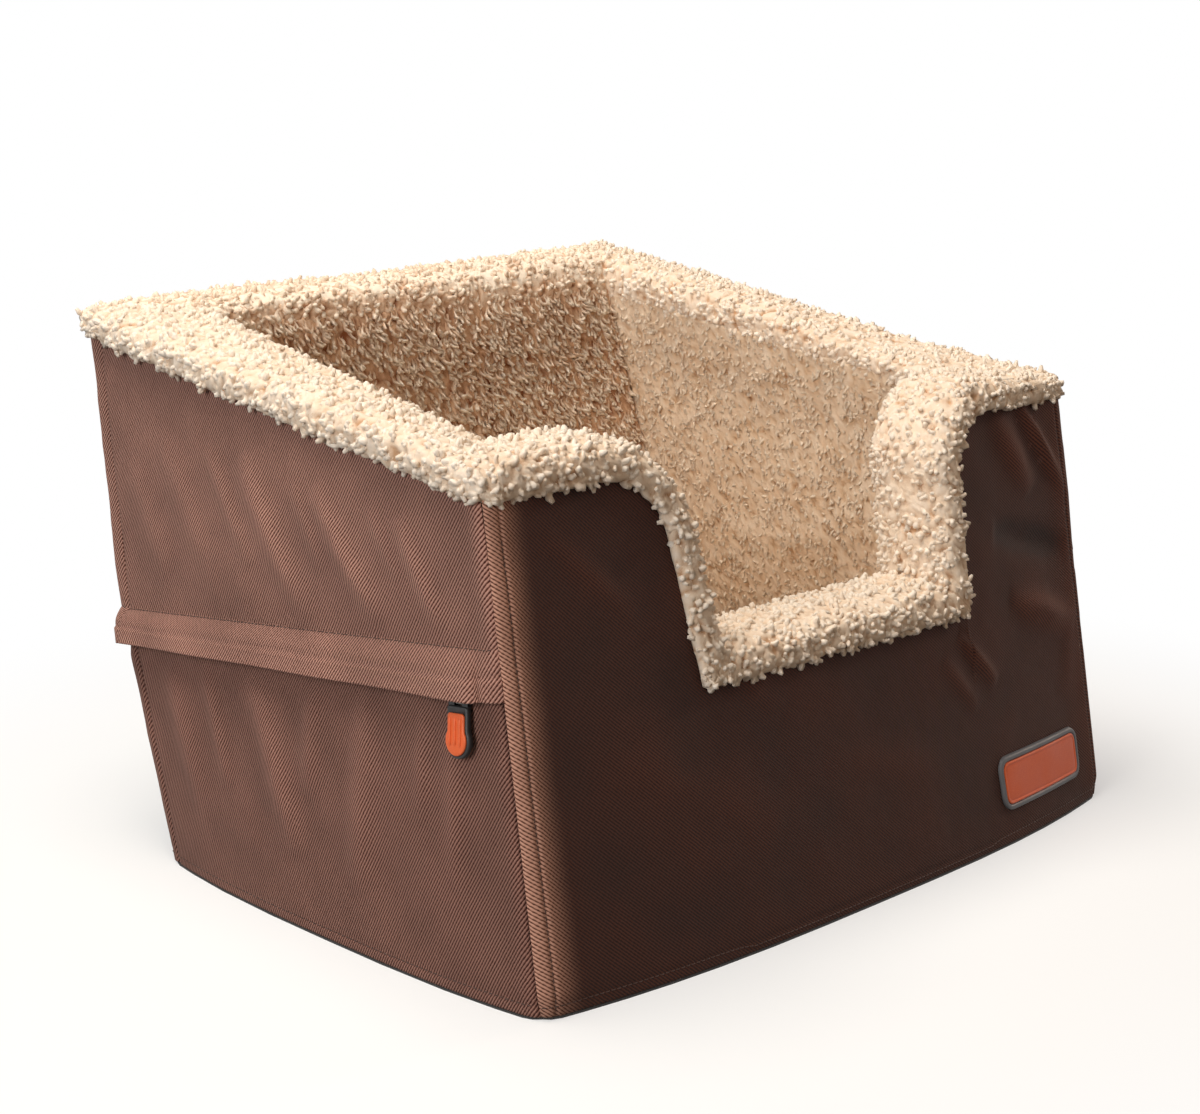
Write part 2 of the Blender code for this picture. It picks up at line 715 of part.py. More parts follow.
def zip_stop(name, side, distance):
    section = box_section(-teeth_half, teeth_half, zip_offset - tooth_thickness / 2, zip_offset + tooth_thickness / 2)
    rise, depth = (np.array(column)[None, :] for column in zip(*section))
    ends = np.array([zip_place(side, distance + reach) for reach in (-stop_length / 2, stop_length / 2)])[:, None]
    add_object(name, lofted(zip_point(ends, rise, depth)), metal)


# The rows of teeth run from a stop by the right seam to one just before the parked slider
def make_zip():
    left_stop = zip_park - slider_length / 2 - stop_gap - stop_length / 2
    right_stop = tape_inset + stop_length / 2 + clearance
    teeth_ends = (end_inset, left_stop + stop_length / 2 + clearance)
    outer, inner = zip_offset - tooth_thickness / 2, zip_offset + tooth_thickness / 2
    tape_outer, tape_inner = zip_offset - tape_thickness / 2, zip_offset + tape_thickness / 2
    seam = teeth_half + clearance
    zip_strip("zip_teeth_upper", *teeth_ends, box_section(row_gap / 2, teeth_half, outer, inner), metal)
    zip_strip("zip_teeth_lower", *teeth_ends, box_section(-teeth_half, -row_gap / 2, outer, inner), metal)
    high, low = (seam, tape_width_high), (-tape_width_low, -seam)
    zip_strip("zip_tape_upper", tape_inset, tape_inset, box_section(*high, tape_outer, tape_inner), tape)
    zip_strip("zip_tape_lower", tape_inset, tape_inset, box_section(*low, tape_outer, tape_inner), tape)
    zip_stop("zip_stop_left", left, left_stop)
    zip_stop("zip_stop_right", right, right_stop)
    frame = slider_frame()
    tab_frame = frame @ Matrix.Translation((0, 0, make_slider(frame)))
    drop = flap_drop + grip_drop
    make_tab(tab_frame, drop)
    # The grip leans out as much as the wall below the zip does where it swells most
    place = left + np.array(side_shares)
    top = wall_point(place, zip_height(place) - drop, 0)
    along = wall_point(place, zip_height(place) - drop - grip_length, 0) - top
    out_lean = float(np.max(np.arctan2(along @ np.array(frame.col[2].xyz), -along @ np.array(frame.col[1].xyz))))
    make_grip(tab_frame @ Matrix.Translation((0, -drop, 0)) @ Matrix.Rotation(-out_lean, 4, "X"))


# Shares of a length for a plate with rounded corners, and its square corners turned into round ones
def plate_shares(length, radius, middle):
    corner = [radius / length * share for share in corner_shares]
    between = [corner[-1] + (1 - 2 * corner[-1]) * share for share in middle]
    return np.array(corner + between + [1 - share for share in reversed(corner)])


def round_plate(across, up, radius):
    near = (across > 0) & (up > 0)
    shrink = np.where(near, np.maximum(across, up) / np.maximum(np.hypot(across, up), clearance / 1000), 1)
    return np.where(near, across * shrink, across), np.where(near, up * shrink, up)


# One plain layer of the soft badge on the front
def badge_plate(name, margin, outer, inner, material):
    width, height, radius = badge_width - 2 * margin, badge_height - 2 * margin, badge_radius - margin
    columns, rows = plate_shares(width, radius, middle_shares), plate_shares(height, radius, middle_shares[1:2])

    def bend(u, v, w):
        x = (np.interp(u * (len(columns) - 1), np.arange(len(columns)), columns) - 1 / 2) * width
        z = (np.interp(v * (len(rows) - 1), np.arange(len(rows)), rows) - 1 / 2) * height
        flat_x, flat_z = width / 2 - radius, height / 2 - radius
        across, up = round_plate(np.abs(x) - flat_x, np.abs(z) - flat_z, radius)
        x, z = np.sign(x) * (flat_x + across), np.sign(z) * (flat_z + up)
        return front_point(badge_x + x, badge_z + z, outer + (inner - outer) * w)

    return add_object(name, bent_block(len(columns) - 1, len(rows) - 1, bend), material)


def make_badge():
    face = -clearance - badge_thickness
    badge_plate("badge_backing", 0, face, -clearance, rubber)
    badge_plate("badge_face", badge_margin, face - clearance - badge_relief, face - clearance, badge_grey)


# Webbing sewn down at both ends, standing off the back between them for the car's belt
def belt_loop(name, centre_x):
    def bend(u, v, w):
        height = loop_low + (loop_high - loop_low) * v
        half = seat_width / 2 - back_narrowing * height / back_height
        place = back + 0.5 - (centre_x + (u - 0.5) * webbing_width) / (2 * half)
        from_end = np.minimum(v, 1 - v) * (loop_high - loop_low)
        rise_share = np.clip((from_end - loop_sewn) / loop_rise, 0, 1)
        stand = loop_stand * np.sin(np.pi / 2 * rise_share)
        return wall_point(place, height, -clearance - stand - webbing_thickness * w)

    return add_object(name, bent_block(1, 16, bend), webbing)


# The tether's anchor inside: a webbing tab on the back lining whose lower end holds a ring
def make_tether_anchor():
    eye = ring_wire_radius + ring_room + tab_web_thickness / 2
    middle = np.array(back + 0.5)
    depth = core_depth + clearance + eye
    foot = Vector(wall_point(middle, ring_height, depth))
    up = (Vector(wall_point(middle, ring_height + tab_web_length, depth)) - foot).normalized()
    across = Vector((1, 0, 0))
    frame = Matrix((across, up, across.cross(up))).transposed().to_4x4()
    frame.translation = foot
    strap_z = -eye + tab_web_thickness / 2
    strap = box((tab_web_width, tab_web_length, tab_web_thickness), (0, tab_web_length / 2, strap_z))
    anchor = placed(add_object("tether_anchor", strap, webbing), frame)
    combine(anchor, placed(add_cutter("anchor_eye", rod(eye, tab_web_width, (0, 0, 0))), frame), "UNION")
    bore = rod(ring_wire_radius + ring_room, 2 * tab_web_width, (0, 0, 0))
    combine(anchor, placed(add_cutter("anchor_bore", bore), frame), "DIFFERENCE")
    curve = bpy.data.curves.new("tether_ring", "CURVE")
    curve.dimensions = "3D"
    curve.bevel_depth = ring_wire_radius
    curve.bevel_resolution = 2
    spline = curve.splines.new("POLY")
    points = [(-ring_half_width, 0), (0, 0), (ring_half_width, 0)]
    for step in range(1, ring_steps):
        angle = -math.pi * step / ring_steps
        points.append((ring_half_width * math.cos(angle), ring_half_width * (math.sin(angle) - ring_neck_share)))
    spline.points.add(len(points) - 1)
    for point, (x, y) in zip(spline.points, points):
        point.co = (x, y, 0, 1)
    spline.use_cyclic_u = True
    ring = bpy.data.objects.new("tether_ring", curve)
    curve.materials.append(metal)
    walls.objects.link(ring)
    placed(ring, frame)
    return frame


# The seat's pad: it follows the lining, drawn in between its corners, with a crowned top
def make_pad():
    depth = core_depth + pad_gap
    columns = plate_shares(seat_width - 2 * depth, pad_radius, pad_middle_shares)
    rows = plate_shares(seat_depth - 2 * depth, pad_radius, pad_middle_shares)

    def bend(u, v, w):
        u = np.interp(u * (len(columns) - 1), np.arange(len(columns)), columns)
        v = np.interp(v * (len(rows) - 1), np.arange(len(rows)), rows)
        level = lining_start + pad_height * w
        x_low = wall_point(left + 1 - v, level, depth)[:, 0] + pad_draw_in * np.sin(np.pi * v)
        x_high = wall_point(right + v, level, depth)[:, 0] - pad_draw_in * np.sin(np.pi * v)
        y_low = wall_point(front + u, level, depth)[:, 1] + pad_draw_in * np.sin(np.pi * u)
        y_high = wall_point(back + 1 - u, level, depth)[:, 1] - pad_draw_in * np.sin(np.pi * u)
        x, y = x_low + (x_high - x_low) * u, y_low + (y_high - y_low) * v
        right_half, back_half = np.where(u > 1 / 2, 1, -1), np.where(v > 1 / 2, 1, -1)
        x_edge, y_edge = np.where(u > 1 / 2, x_high, x_low), np.where(v > 1 / 2, y_high, y_low)
        flat_x, flat_y = x_edge - right_half * pad_radius, y_edge - back_half * pad_radius
        across, along = round_plate((x - flat_x) * right_half, (y - flat_y) * back_half, pad_radius)
        x, y = flat_x + right_half * across, flat_y + back_half * along
        dome = (1 - np.abs(2 * u - 1) ** pad_power) * (1 - np.abs(2 * v - 1) ** pad_power)
        top = pad_height - pad_crown * (1 - dome)
        return np.stack([x, y, lining_start + np.where(w > 1 / 2, top, 0)], axis=-1)

    return add_object("seat_pad", bent_block(len(columns) - 1, len(rows) - 1, bend), fleece, smooth=True)


# Columns of a side's cloth: its front seams stand on the corners, and the back's cloth wraps both its own
def cloth_places(side):
    places = wrapped_places(side) if side == back else side_places(side)
    reach = len(arc_shares) - 1
    return places[:-reach] if side == right else places[reach:] if side == left else places


def make_cloth():
    half = clearance / 2
    places = trim(cloth_places(front), half)
    panel = wall_plate("front_panel", places, wall_start, rim_height, 0, cloth_thickness, cloth)
    combine(panel, notch_cutter("front_panel_notch", 0), "DIFFERENCE")
    for side, name in sides:
        places = cloth_places(side)
        edge = trim(places, half)
        wall_plate(f"{name}_lower_panel", edge, wall_start, lower_edge, 0, cloth_thickness, cloth)
        wall_plate(f"{name}_upper_panel", edge, flap_top, rim_height, 0, cloth_thickness, cloth)
        zip_flap(f"{name}_zip_flap", places, side)


def lower_edge(place):
    return zip_height(place) - zip_slot / 2


# Boards and foams inside the walls, mitred at the corners. The boards fold at the zip.
def make_core():
    outer, inner = board_offset, board_offset + board_thickness
    foam_inner = foam_offset + foam_thickness
    front_edge = trim(side_places(front), clearance)
    front_board = wall_plate("front_board", front_edge, board_start, rim_height, outer, inner, board)
    combine(front_board, notch_cutter("front_board_notch", 0), "DIFFERENCE")
    front_foam = wall_plate("front_foam", front_edge, board_start, rim_height, foam_offset, foam_inner, foam)
    combine(front_foam, notch_cutter("front_foam_notch", 0), "DIFFERENCE")
    for side, name in sides:
        edge = trim(side_places(side), clearance)
        wall_plate(f"{name}_lower_board", edge, board_start, lower_fold, outer, inner, board)
        wall_plate(f"{name}_upper_board", edge, upper_fold, rim_height, outer, inner, board)
        wall_plate(f"{name}_foam", edge, board_start, rim_height, foam_offset, foam_inner, foam)


def lower_fold(place):
    return zip_height(place) - fold_gap


def upper_fold(place):
    return zip_height(place) + fold_gap


def lining_edge(place):
    return rim_height(place) - cuff_inner_drop - clearance


def make_linings():
    for side, name in ((front, "front"),) + sides:
        edge = trim(side_places(side), clearance)
        depths = (lining_depth, core_depth)
        lining = wall_plate(f"{name}_lining", edge, lining_start, lining_edge, *depths, fleece, smooth=True)
        if side == front:
            combine(lining, notch_cutter("front_lining_notch", cuff_inner_drop + clearance), "DIFFERENCE")


def make_floor():
    floor_plate("bottom_panel", 0, 0, cloth_thickness, base_cloth)
    floor_plate("base_board", board_offset, wall_start, wall_start + base_board_thickness, board)
    floor_plate("base_foam_block", lining_depth, board_start, block_top, foam)
    floor_plate("deck_board", lining_depth, block_top + clearance, deck_top, board)


def make_cuffs():
    for side, name in sides:
        side_cuff(f"cuff_{name}", side_places(side))
    sill_row, post_row = front_cuff_stations()
    front_cuff("cuff_sill", sill_row)
    front_cuff("cuff_front_right", post_row, corner_share=crown_rise_shares[1])
    front_cuff("cuff_front_left", post_row, mirror=-1)


cloth = named_material("brown_twill", (0.135, 0.075, 0.050), 0.85)
base_cloth = named_material("black_base_cloth", (0.020, 0.019, 0.019), 0.8)
fleece = named_material("cream_fleece", (0.700, 0.560, 0.400), 0.95)
foam = named_material("white_foam", (0.780, 0.760, 0.680), 0.9)
board = named_material("grey_board", (0.230, 0.220, 0.200), 0.7)
tape = named_material("brown_zip_tape", (0.080, 0.045, 0.030), 0.9)
metal = named_material("dark_nickel", (0.260, 0.250, 0.240), 0.35, metallic=1)
rubber = named_material("black_rubber", (0.018, 0.018, 0.018), 0.55)
orange = named_material("orange_rubber", (0.800, 0.230, 0.040), 0.5)
badge_grey = named_material("grey_rubber", (0.350, 0.340, 0.330), 0.5)
webbing = named_material("black_webbing", (0.022, 0.021, 0.021), 0.8)
sides = ((right, "right"), (back, "back"), (left, "left"))

make_cloth()
make_core()
make_floor()
make_linings()
make_cuffs()
make_pad()
make_zip()
make_badge()
belt_loop("belt_loop_left", -loop_x)
belt_loop("belt_loop_right", loop_x)
make_tether_anchor()
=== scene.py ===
import json
import math

import bpy
import numpy as np
from mathutils import Matrix, Vector


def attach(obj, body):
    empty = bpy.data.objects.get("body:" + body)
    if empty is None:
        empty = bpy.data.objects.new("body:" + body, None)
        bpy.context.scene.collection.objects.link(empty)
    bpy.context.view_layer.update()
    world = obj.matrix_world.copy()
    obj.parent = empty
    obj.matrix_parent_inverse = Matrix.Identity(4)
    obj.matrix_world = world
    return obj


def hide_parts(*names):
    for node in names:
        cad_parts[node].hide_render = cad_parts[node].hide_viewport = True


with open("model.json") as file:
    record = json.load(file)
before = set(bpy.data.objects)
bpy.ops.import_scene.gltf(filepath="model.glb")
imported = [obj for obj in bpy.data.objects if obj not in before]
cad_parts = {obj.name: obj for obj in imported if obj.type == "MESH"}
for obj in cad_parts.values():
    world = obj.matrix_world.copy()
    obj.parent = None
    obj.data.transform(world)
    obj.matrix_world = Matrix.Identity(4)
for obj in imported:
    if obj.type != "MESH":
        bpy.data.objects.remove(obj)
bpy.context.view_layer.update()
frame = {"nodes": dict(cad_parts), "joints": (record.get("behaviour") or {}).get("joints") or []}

mm = 0.001

# Shape of the bucket: the same sizes as the solids have
bucket = {
    "width": 0.508, "depth": 0.3288, "frontHeight": 0.2716, "backHeight": 0.3207,
    "frontLean": 0.0458, "backLean": 0.1081, "kinkHeight": 0.1317, "kinkSetback": 0.0611,
    "frontNarrowing": 0.0031, "backNarrowing": 0.0277, "cornerRadius": 0.012,
    "frontBow": 0.019, "sideBow": 0.010, "backBow": 0.008, "upperBow": 0.003, "bowPower": 3,
    "cloth": 0.0012, "liningDepth": 0.0339, "coreDepth": 0.0462, "liningStart": 0.0534,
}
zipLine = {
    "frontHeight": 0.1687, "backHeight": 0.1317, "offset": 0.0018, "slot": 0.011,
    "flapDrop": 0.007, "flapFrontRise": 0.0193, "flapBackRise": 0.0133, "flapStand": 0.0055,
    "flapEase": 0.0095, "flapEndShare": 0.32,
    "rowGap": 0.002, "rowWidth": 0.002, "thickness": 0.0022,
}
notch = {"floor": 0.1555, "halfLow": 0.1085, "halfHigh": 0.1165, "radius": 0.0515}
front, right, back, left = range(4)
sideNames = ("front", "right", "back", "left")
seatCentre = np.array([0, 0.03, 0.15])


# Held between 0 and 1
def clamp(share):
    return np.clip(share, 0, 1)


# How far behind the base's rear edge the back wall stands: one slope below the kink and another above it
def backSetback(height):
    low = bucket["kinkSetback"] * height / bucket["kinkHeight"]
    share = (height - bucket["kinkHeight"]) / (bucket["backHeight"] - bucket["kinkHeight"])
    high = bucket["kinkSetback"] + (bucket["backLean"] - bucket["kinkSetback"]) * share
    return np.where(height < bucket["kinkHeight"], low, high)


# Half the outline's width at its front or back edge, and the front edge's y, at a height
def halfWidth(end, height):
    return bucket["width"] / 2 - bucket[end + "Narrowing"] * height / bucket[end + "Height"]


def frontLine(height):
    return -bucket["depth"] / 2 + bucket["frontLean"] * height / bucket["frontHeight"]


# The outline's four corners at a height, drawn in by a depth, from the front left one round
def sharpCorners(height, depth):
    frontX, backX = halfWidth("front", height) - depth, halfWidth("back", height) - depth
    frontY, backY = frontLine(height) + depth, bucket["depth"] / 2 + backSetback(height) - depth
    return np.array([[-frontX, frontY], [frontX, frontY], [backX, backY], [-backX, backY]])


# 0 at the front and 1 at the back, rising evenly along the sides
def backShare(place):
    side, share = np.floor(place) % 4, place - np.floor(place)
    return np.where(side == right, share, np.where(side == left, 1 - share, np.where(side == back, 1, 0)))


def towardsBack(atFront, atBack, place):
    return atFront + (atBack - atFront) * backShare(place)


def rimHeight(place):
    return towardsBack(bucket["frontHeight"], bucket["backHeight"], place)


def zipHeight(place):
    return towardsBack(zipLine["frontHeight"], zipLine["backHeight"], place)


def flapTop(place):
    return zipHeight(place) + towardsBack(zipLine["flapFrontRise"], zipLine["flapBackRise"], place)


# Outward swell of a side: 1 minus a cubic of the place across it, largest at the floor
def bowOf(side, share, height):
    plan = 1 - np.abs(2 * share - 1) ** bucket["bowPower"]
    line = zipHeight(side + share)
    low = clamp(1 - height / line)
    highShare = clamp((height - line) / (rimHeight(side + share) - line))
    frontPart = bucket["frontBow"] * clamp(1 - height / bucket["frontHeight"])
    swell = np.where(side == back, bucket["backBow"], bucket["sideBow"]) * low
    swell = swell + bucket["upperBow"] * np.sin(np.pi * highShare)
    twist = (zipLine["frontHeight"] - zipLine["backHeight"]) * (
        bucket["backNarrowing"] / bucket["backHeight"] - bucket["frontNarrowing"] / bucket["frontHeight"])
    straight = np.where(side % 2 == 1, twist * share * (1 - share) * (1 - highShare), 0)
    return plan * np.where(side == front, frontPart, swell) + straight


# Near a corner each square ring about the corner's centre becomes a circle
def roundCorners(x, y, height):
    radius = bucket["cornerRadius"]
    for (sx, sy), (cx, cy) in zip(((1, 1), (-1, 1), (-1, -1), (1, -1)), sharpCorners(height, 0)):
        along, across = (x - cx) * sx - radius, (y - cy) * sy - radius
        near = (along < 0) & (across < 0)
        shrink = np.maximum(np.abs(along), np.abs(across)) / np.maximum(np.hypot(along, across), 1e-9)
        x = np.where(near, cx + sx * (radius + along * shrink), x)
        y = np.where(near, cy + sy * (radius + across * shrink), y)
    return x, y


# A point of the wall: place counts sides round from the front left corner, and depth is inwards from the cloth
def wallPoint(place, height, depth):
    place, height, depth = np.broadcast_arrays(place, height, depth)
    side = np.floor(place).astype(int) % 4
    share = place - np.floor(place)
    corners = sharpCorners(height, depth)
    start, end = (np.take_along_axis(corners, (side[None, None] + k) % 4, 0)[0] for k in (0, 1))
    x, y = roundCorners(*(start + (end - start) * share), height)
    bow = bowOf(side, share, height)
    outward = np.array(((0, -1), (1, 0), (0, 1), (-1, 0)))[side]
    return np.stack([x + outward[..., 0] * bow, y + outward[..., 1] * bow, height], axis=-1)


# A point of the front wall by its width x and height
def frontPoint(x, height, depth):
    x, height, depth = np.broadcast_arrays(x, height, depth)
    half = halfWidth("front", height)
    x, y = roundCorners(x, frontLine(height) + depth, height)
    share = clamp((x + half) / (2 * half))
    return np.stack([x, y - bowOf(front, share, height), height], axis=-1)


# Height of the notch's edge in the front wall at a width x: level sill, steep post, quarter circle, level top.
# A widening moves the edge into the wall.
def notchTop(x, top, widening=0):
    x = np.abs(x)
    low, high = notch["halfLow"] + widening, notch["halfHigh"] + widening
    radius = notch["radius"] - widening
    centreX, centreZ = notch["halfHigh"] + notch["radius"], bucket["frontHeight"] - notch["radius"]
    sill = notch["floor"] - widening
    post = sill + (x - low) / (high - low) * (centreZ - sill)
    arc = centreZ + np.sqrt(np.maximum(radius**2 - (centreX - x) ** 2, 0))
    edge = np.where(x < low, sill, np.where(x < high, post, np.where(x < centreX, arc, top)))
    return np.minimum(edge, top)


# A repeatable number from 0 to 1 for each whole-numbered point of a lattice
def latticeRandom(cell, seed):
    cell = cell.astype(np.uint32)
    mixed = cell[..., 0] * np.uint32(73856093) ^ cell[..., 1] * np.uint32(19349663)
    mixed = mixed ^ cell[..., 2] * np.uint32(83492791) ^ np.uint32(seed * 7919 + 17)
    mixed = (mixed ^ mixed >> np.uint32(15)) * np.uint32(2246822519)
    mixed = (mixed ^ mixed >> np.uint32(13)) * np.uint32(3266489917)
    return ((mixed ^ mixed >> np.uint32(16)) & np.uint32(0xFFFFFF)) / 0xFFFFFF


# Smooth noise from 0 to 1: lattice numbers blended by a cubic between the eight corners of each cell
def softNoise(points, size, seed):
    scaled = points / size
    cell = np.floor(scaled).astype(np.int64)
    part = scaled - cell
    part = part * part * (3 - 2 * part)
    total = 0
    for corner in np.ndindex(2, 2, 2):
        weight = np.prod(np.where(corner, part, 1 - part), axis=-1)
        total = total + weight * latticeRandom(cell + corner, seed)
    return total


# Distance to the nearest scattered seed, in cells, and that seed's own random number
def seedDistance(points, size, seed):
    scaled = points / size
    base = np.floor(scaled - 0.5).astype(np.int64)
    nearest = np.full(points.shape[:-1], 9.0)
    tone = np.zeros(points.shape[:-1])
    for corner in np.ndindex(2, 2, 2):
        cell = base + corner
        jitter = np.stack([latticeRandom(cell, seed + k) for k in range(3)], axis=-1)
        distance = np.linalg.norm(cell + 0.15 + 0.7 * jitter - scaled, axis=-1)
        closer = distance < nearest
        nearest = np.where(closer, distance, nearest)
        tone = np.where(closer, latticeRandom(cell, seed + 3), tone)
    return nearest, tone


# Vectors at length one
def unit(vectors):
    return vectors / np.maximum(np.linalg.norm(vectors, axis=-1, keepdims=True), 1e-12)


# Unit normals of a grid of points, by the cross product of its two directions, on the side that outward is on
def gridNormals(grid, outward):
    normals = unit(np.cross(np.gradient(grid, axis=0), np.gradient(grid, axis=1)))
    return normals * np.sign(np.sum(normals * outward, axis=-1).mean())


# Distance along a line of points, from its start to each of them
def runLength(line):
    return np.concatenate([[0], np.cumsum(np.linalg.norm(np.diff(line, axis=0), axis=-1))])


# The same for places along the wall, at one height
def alongWall(places, height=0.17):
    return runLength(wallPoint(places[0], height, 0))


# A table's columns, read between its rows
def readBetween(spots, rowPlaces, table):
    return np.stack([np.interp(spots, rowPlaces, column) for column in table.T], axis=-1)


def linear(hexColour):
    parts = np.array([int(hexColour[k:k + 2], 16) / 255 for k in (1, 3, 5)])
    parts = np.where(parts < 0.04045, parts / 12.92, ((parts + 0.055) / 1.055) ** 2.4)
    return (*parts.tolist(), 1)


# Adds a node: inputs are its sockets' values or links, settings its own properties
def addNode(tree, kind, inputs=(), **settings):
    node = tree.nodes.new(kind)
    for key, value in settings.items():
        setattr(node, key, value)
    for key, value in dict(inputs).items():
        if isinstance(value, bpy.types.NodeSocket):
            tree.links.new(value, node.inputs[key])
        else:
            node.inputs[key].default_value = value
    return node


def newMaterial(name, constants):
    material = bpy.data.materials.new(name)
    material.use_nodes = True
    shader = material.node_tree.nodes["Principled BSDF"]
    for key, value in constants.items():
        shader.inputs[key].default_value = value
    return material, material.node_tree


# By default the first value times the second, and the third added
def mathNode(tree, *values, way="MULTIPLY_ADD"):
    return addNode(tree, "ShaderNodeMath", enumerate(values), operation=way).outputs[0]


def noiseNode(tree, vector, scale, detail=2.0, **more):
    inputs = {"Vector": vector, "Scale": scale, "Detail": detail, **more}
    return addNode(tree, "ShaderNodeTexNoise", inputs).outputs["Fac"]


# Bands of a given width across the vector's X or Y
def bandsNode(tree, vector, width, way, distortion, detail, detailScale=1.0):
    inputs = {"Vector": vector, "Scale": bandWidth / width, "Distortion": distortion, "Detail": detail,
              "Detail Scale": detailScale}
    return addNode(tree, "ShaderNodeTexWave", inputs, bands_direction=way).outputs["Fac"]


def rangeNode(tree, value, fromMin, fromMax, toMin=0.0, toMax=1.0, way="LINEAR"):
    inputs = {"Value": value, "From Min": fromMin, "From Max": fromMax, "To Min": toMin, "To Max": toMax}
    return addNode(tree, "ShaderNodeMapRange", inputs, interpolation_type=way).outputs[0]


# A colour that runs through stops, each with its place and colour
def rampNode(tree, value, *stops):
    ramp = addNode(tree, "ShaderNodeValToRGB", {"Fac": value})
    elements = ramp.color_ramp.elements
    while len(elements) < len(stops):
        elements.new(0.5)
    for element, (place, colour) in zip(elements, stops):
        element.position = place
        element.color = linear(colour)
    return ramp.outputs[0]


def objectPlace(tree):
    return addNode(tree, "ShaderNodeTexCoord").outputs["Object"]


def weavePlace(tree):
    return addNode(tree, "ShaderNodeUVMap", uv_map="weave").outputs["UV"]


def inMillimetres(tree, vector):
    return addNode(tree, "ShaderNodeMapping", {"Vector": vector, "Scale": (1000, 1000, 1000)}).outputs[0]


# The tone that each piece's points carry by their depth or lift, which paints shade in hollows and highlight on
# tips and raised folds
def depthTone(tree):
    return addNode(tree, "ShaderNodeAttribute", attribute_name="depthTone").outputs["Fac"]


def bumpFrom(tree, height, distance, strength):
    bump = addNode(tree, "ShaderNodeBump", {"Height": height, "Distance": distance, "Strength": strength})
    tree.links.new(bump.outputs[0], tree.nodes["Principled BSDF"].inputs["Normal"])


# Gives a material its colour, and bump from a height
def finishMaterial(material, colour, height, distance, strength):
    tree = material.node_tree
    tree.links.new(colour, tree.nodes["Principled BSDF"].inputs["Base Color"])
    bumpFrom(tree, height, distance, strength)
    return material


def addObject(name, data):
    item = bpy.data.objects.new(name, data)
    bpy.context.scene.collection.objects.link(item)
    return item


# Writes and reads one value of all items of a mesh
def fill(items, key, values, kind=np.float32):
    items.foreach_set(key, np.ascontiguousarray(values, kind).ravel())


def taken(items, key, kind=float, width=1):
    values = np.empty(len(items) * width, kind)
    items.foreach_get(key, values)
    return values.reshape(-1, width) if width > 1 else values


def faceStarts(counts):
    return np.concatenate([[0], np.cumsum(counts)[:-1]])


# One piece of the scene from arrays: points, corners of its faces and how many corners each face has. Its faces
# are turned outwards by the sign of its volume.
def newPiece(name, points, loops, counts, material, slotName, body="bucket", replaced=(), uv=None, tone=None,
             sharp=None):
    mesh = bpy.data.meshes.new(name)
    mesh.vertices.add(len(points))
    fill(mesh.vertices, "co", points)
    mesh.loops.add(len(loops))
    fill(mesh.loops, "vertex_index", loops, np.int32)
    mesh.polygons.add(len(counts))
    fill(mesh.polygons, "loop_start", faceStarts(counts), np.int32)
    mesh.update(calc_edges=True)
    mesh.calc_loop_triangles()
    corners = taken(mesh.loop_triangles, "vertices", np.int32, 3)
    a, b, c = np.moveaxis(np.asarray(points)[corners], 1, 0)
    if np.einsum("ij,ij", a, np.cross(b, c)) < 0:
        mesh.flip_normals()
    if uv is not None:
        order = taken(mesh.loops, "vertex_index", np.int32)
        fill(mesh.uv_layers.new(name="weave").data, "uv", uv[order])
    if tone is not None:
        fill(mesh.attributes.new("depthTone", "FLOAT", "POINT").data, "value", tone)
    mesh.shade_smooth()
    if sharp is not None:
        mesh.set_sharp_from_angle(angle=math.radians(sharp))
    mesh.materials.append(material)
    piece = addObject(name, mesh)
    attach(piece, body)
    if replaced:
        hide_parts(*replaced)
    return piece


# The four corners of each cell of a grid, of points or of their numbers
def gridCells(grid):
    corners = np.stack([grid[:-1, :-1], grid[:-1, 1:], grid[1:, 1:], grid[1:, :-1]], axis=2)
    return corners.reshape(-1, 4, *grid.shape[2:])


def cellAreas(cells):
    return np.linalg.norm(np.cross(cells[:, 2] - cells[:, 0], cells[:, 3] - cells[:, 1]), axis=-1) / 2


# Corners and counts of a closed shell: a fine outer grid, a coarser inner grid at the picked rows and columns,
# and wide faces that join their edges
def shellFaces(rows, columns, rowPick, columnPick):
    outer = np.arange(rows * columns).reshape(rows, columns)
    inner = rows * columns + np.arange(len(rowPick) * len(columnPick)).reshape(len(rowPick), len(columnPick))
    loops = [gridCells(outer).ravel(), gridCells(inner)[:, [0, 3, 2, 1]].ravel()]
    counts = [np.full(sum(map(len, loops)) // 4, 4)]
    edges = ((outer[0], inner[0], columnPick, True), (outer[-1], inner[-1], columnPick, False),
             (outer[:, 0], inner[:, 0], rowPick, False), (outer[:, -1], inner[:, -1], rowPick, True))
    for line, far, pick, turned in edges:
        for k in range(len(pick) - 1):
            face = np.concatenate([line[pick[k]:pick[k + 1] + 1], far[[k + 1, k]]])
            loops.append(face[::-1] if turned else face)
            counts.append(np.array([len(face)]))
    return np.concatenate(loops), np.concatenate(counts)


# A piece made as such a shell
def shellPiece(name, outer, inner, material, slotName, picks=None, **more):
    shape = outer.shape[:2]
    points = np.concatenate([outer.reshape(-1, 3), inner.reshape(-1, 3)])
    loops, counts = shellFaces(*shape, *(picks or map(np.arange, shape)))
    return newPiece(name, points, loops, counts, material, slotName, **more)


# Every so many lines of a grid, and always the last one
def pickLines(count, step):
    return np.unique(np.concatenate([np.arange(0, count, step), [count - 1]]))


# All lines in order, less those that are closer than a gap to the one before
def thinned(lines, gap):
    lines = np.unique(np.round(np.concatenate(lines), 7))
    return lines[np.concatenate([[True], np.diff(lines) > gap])]


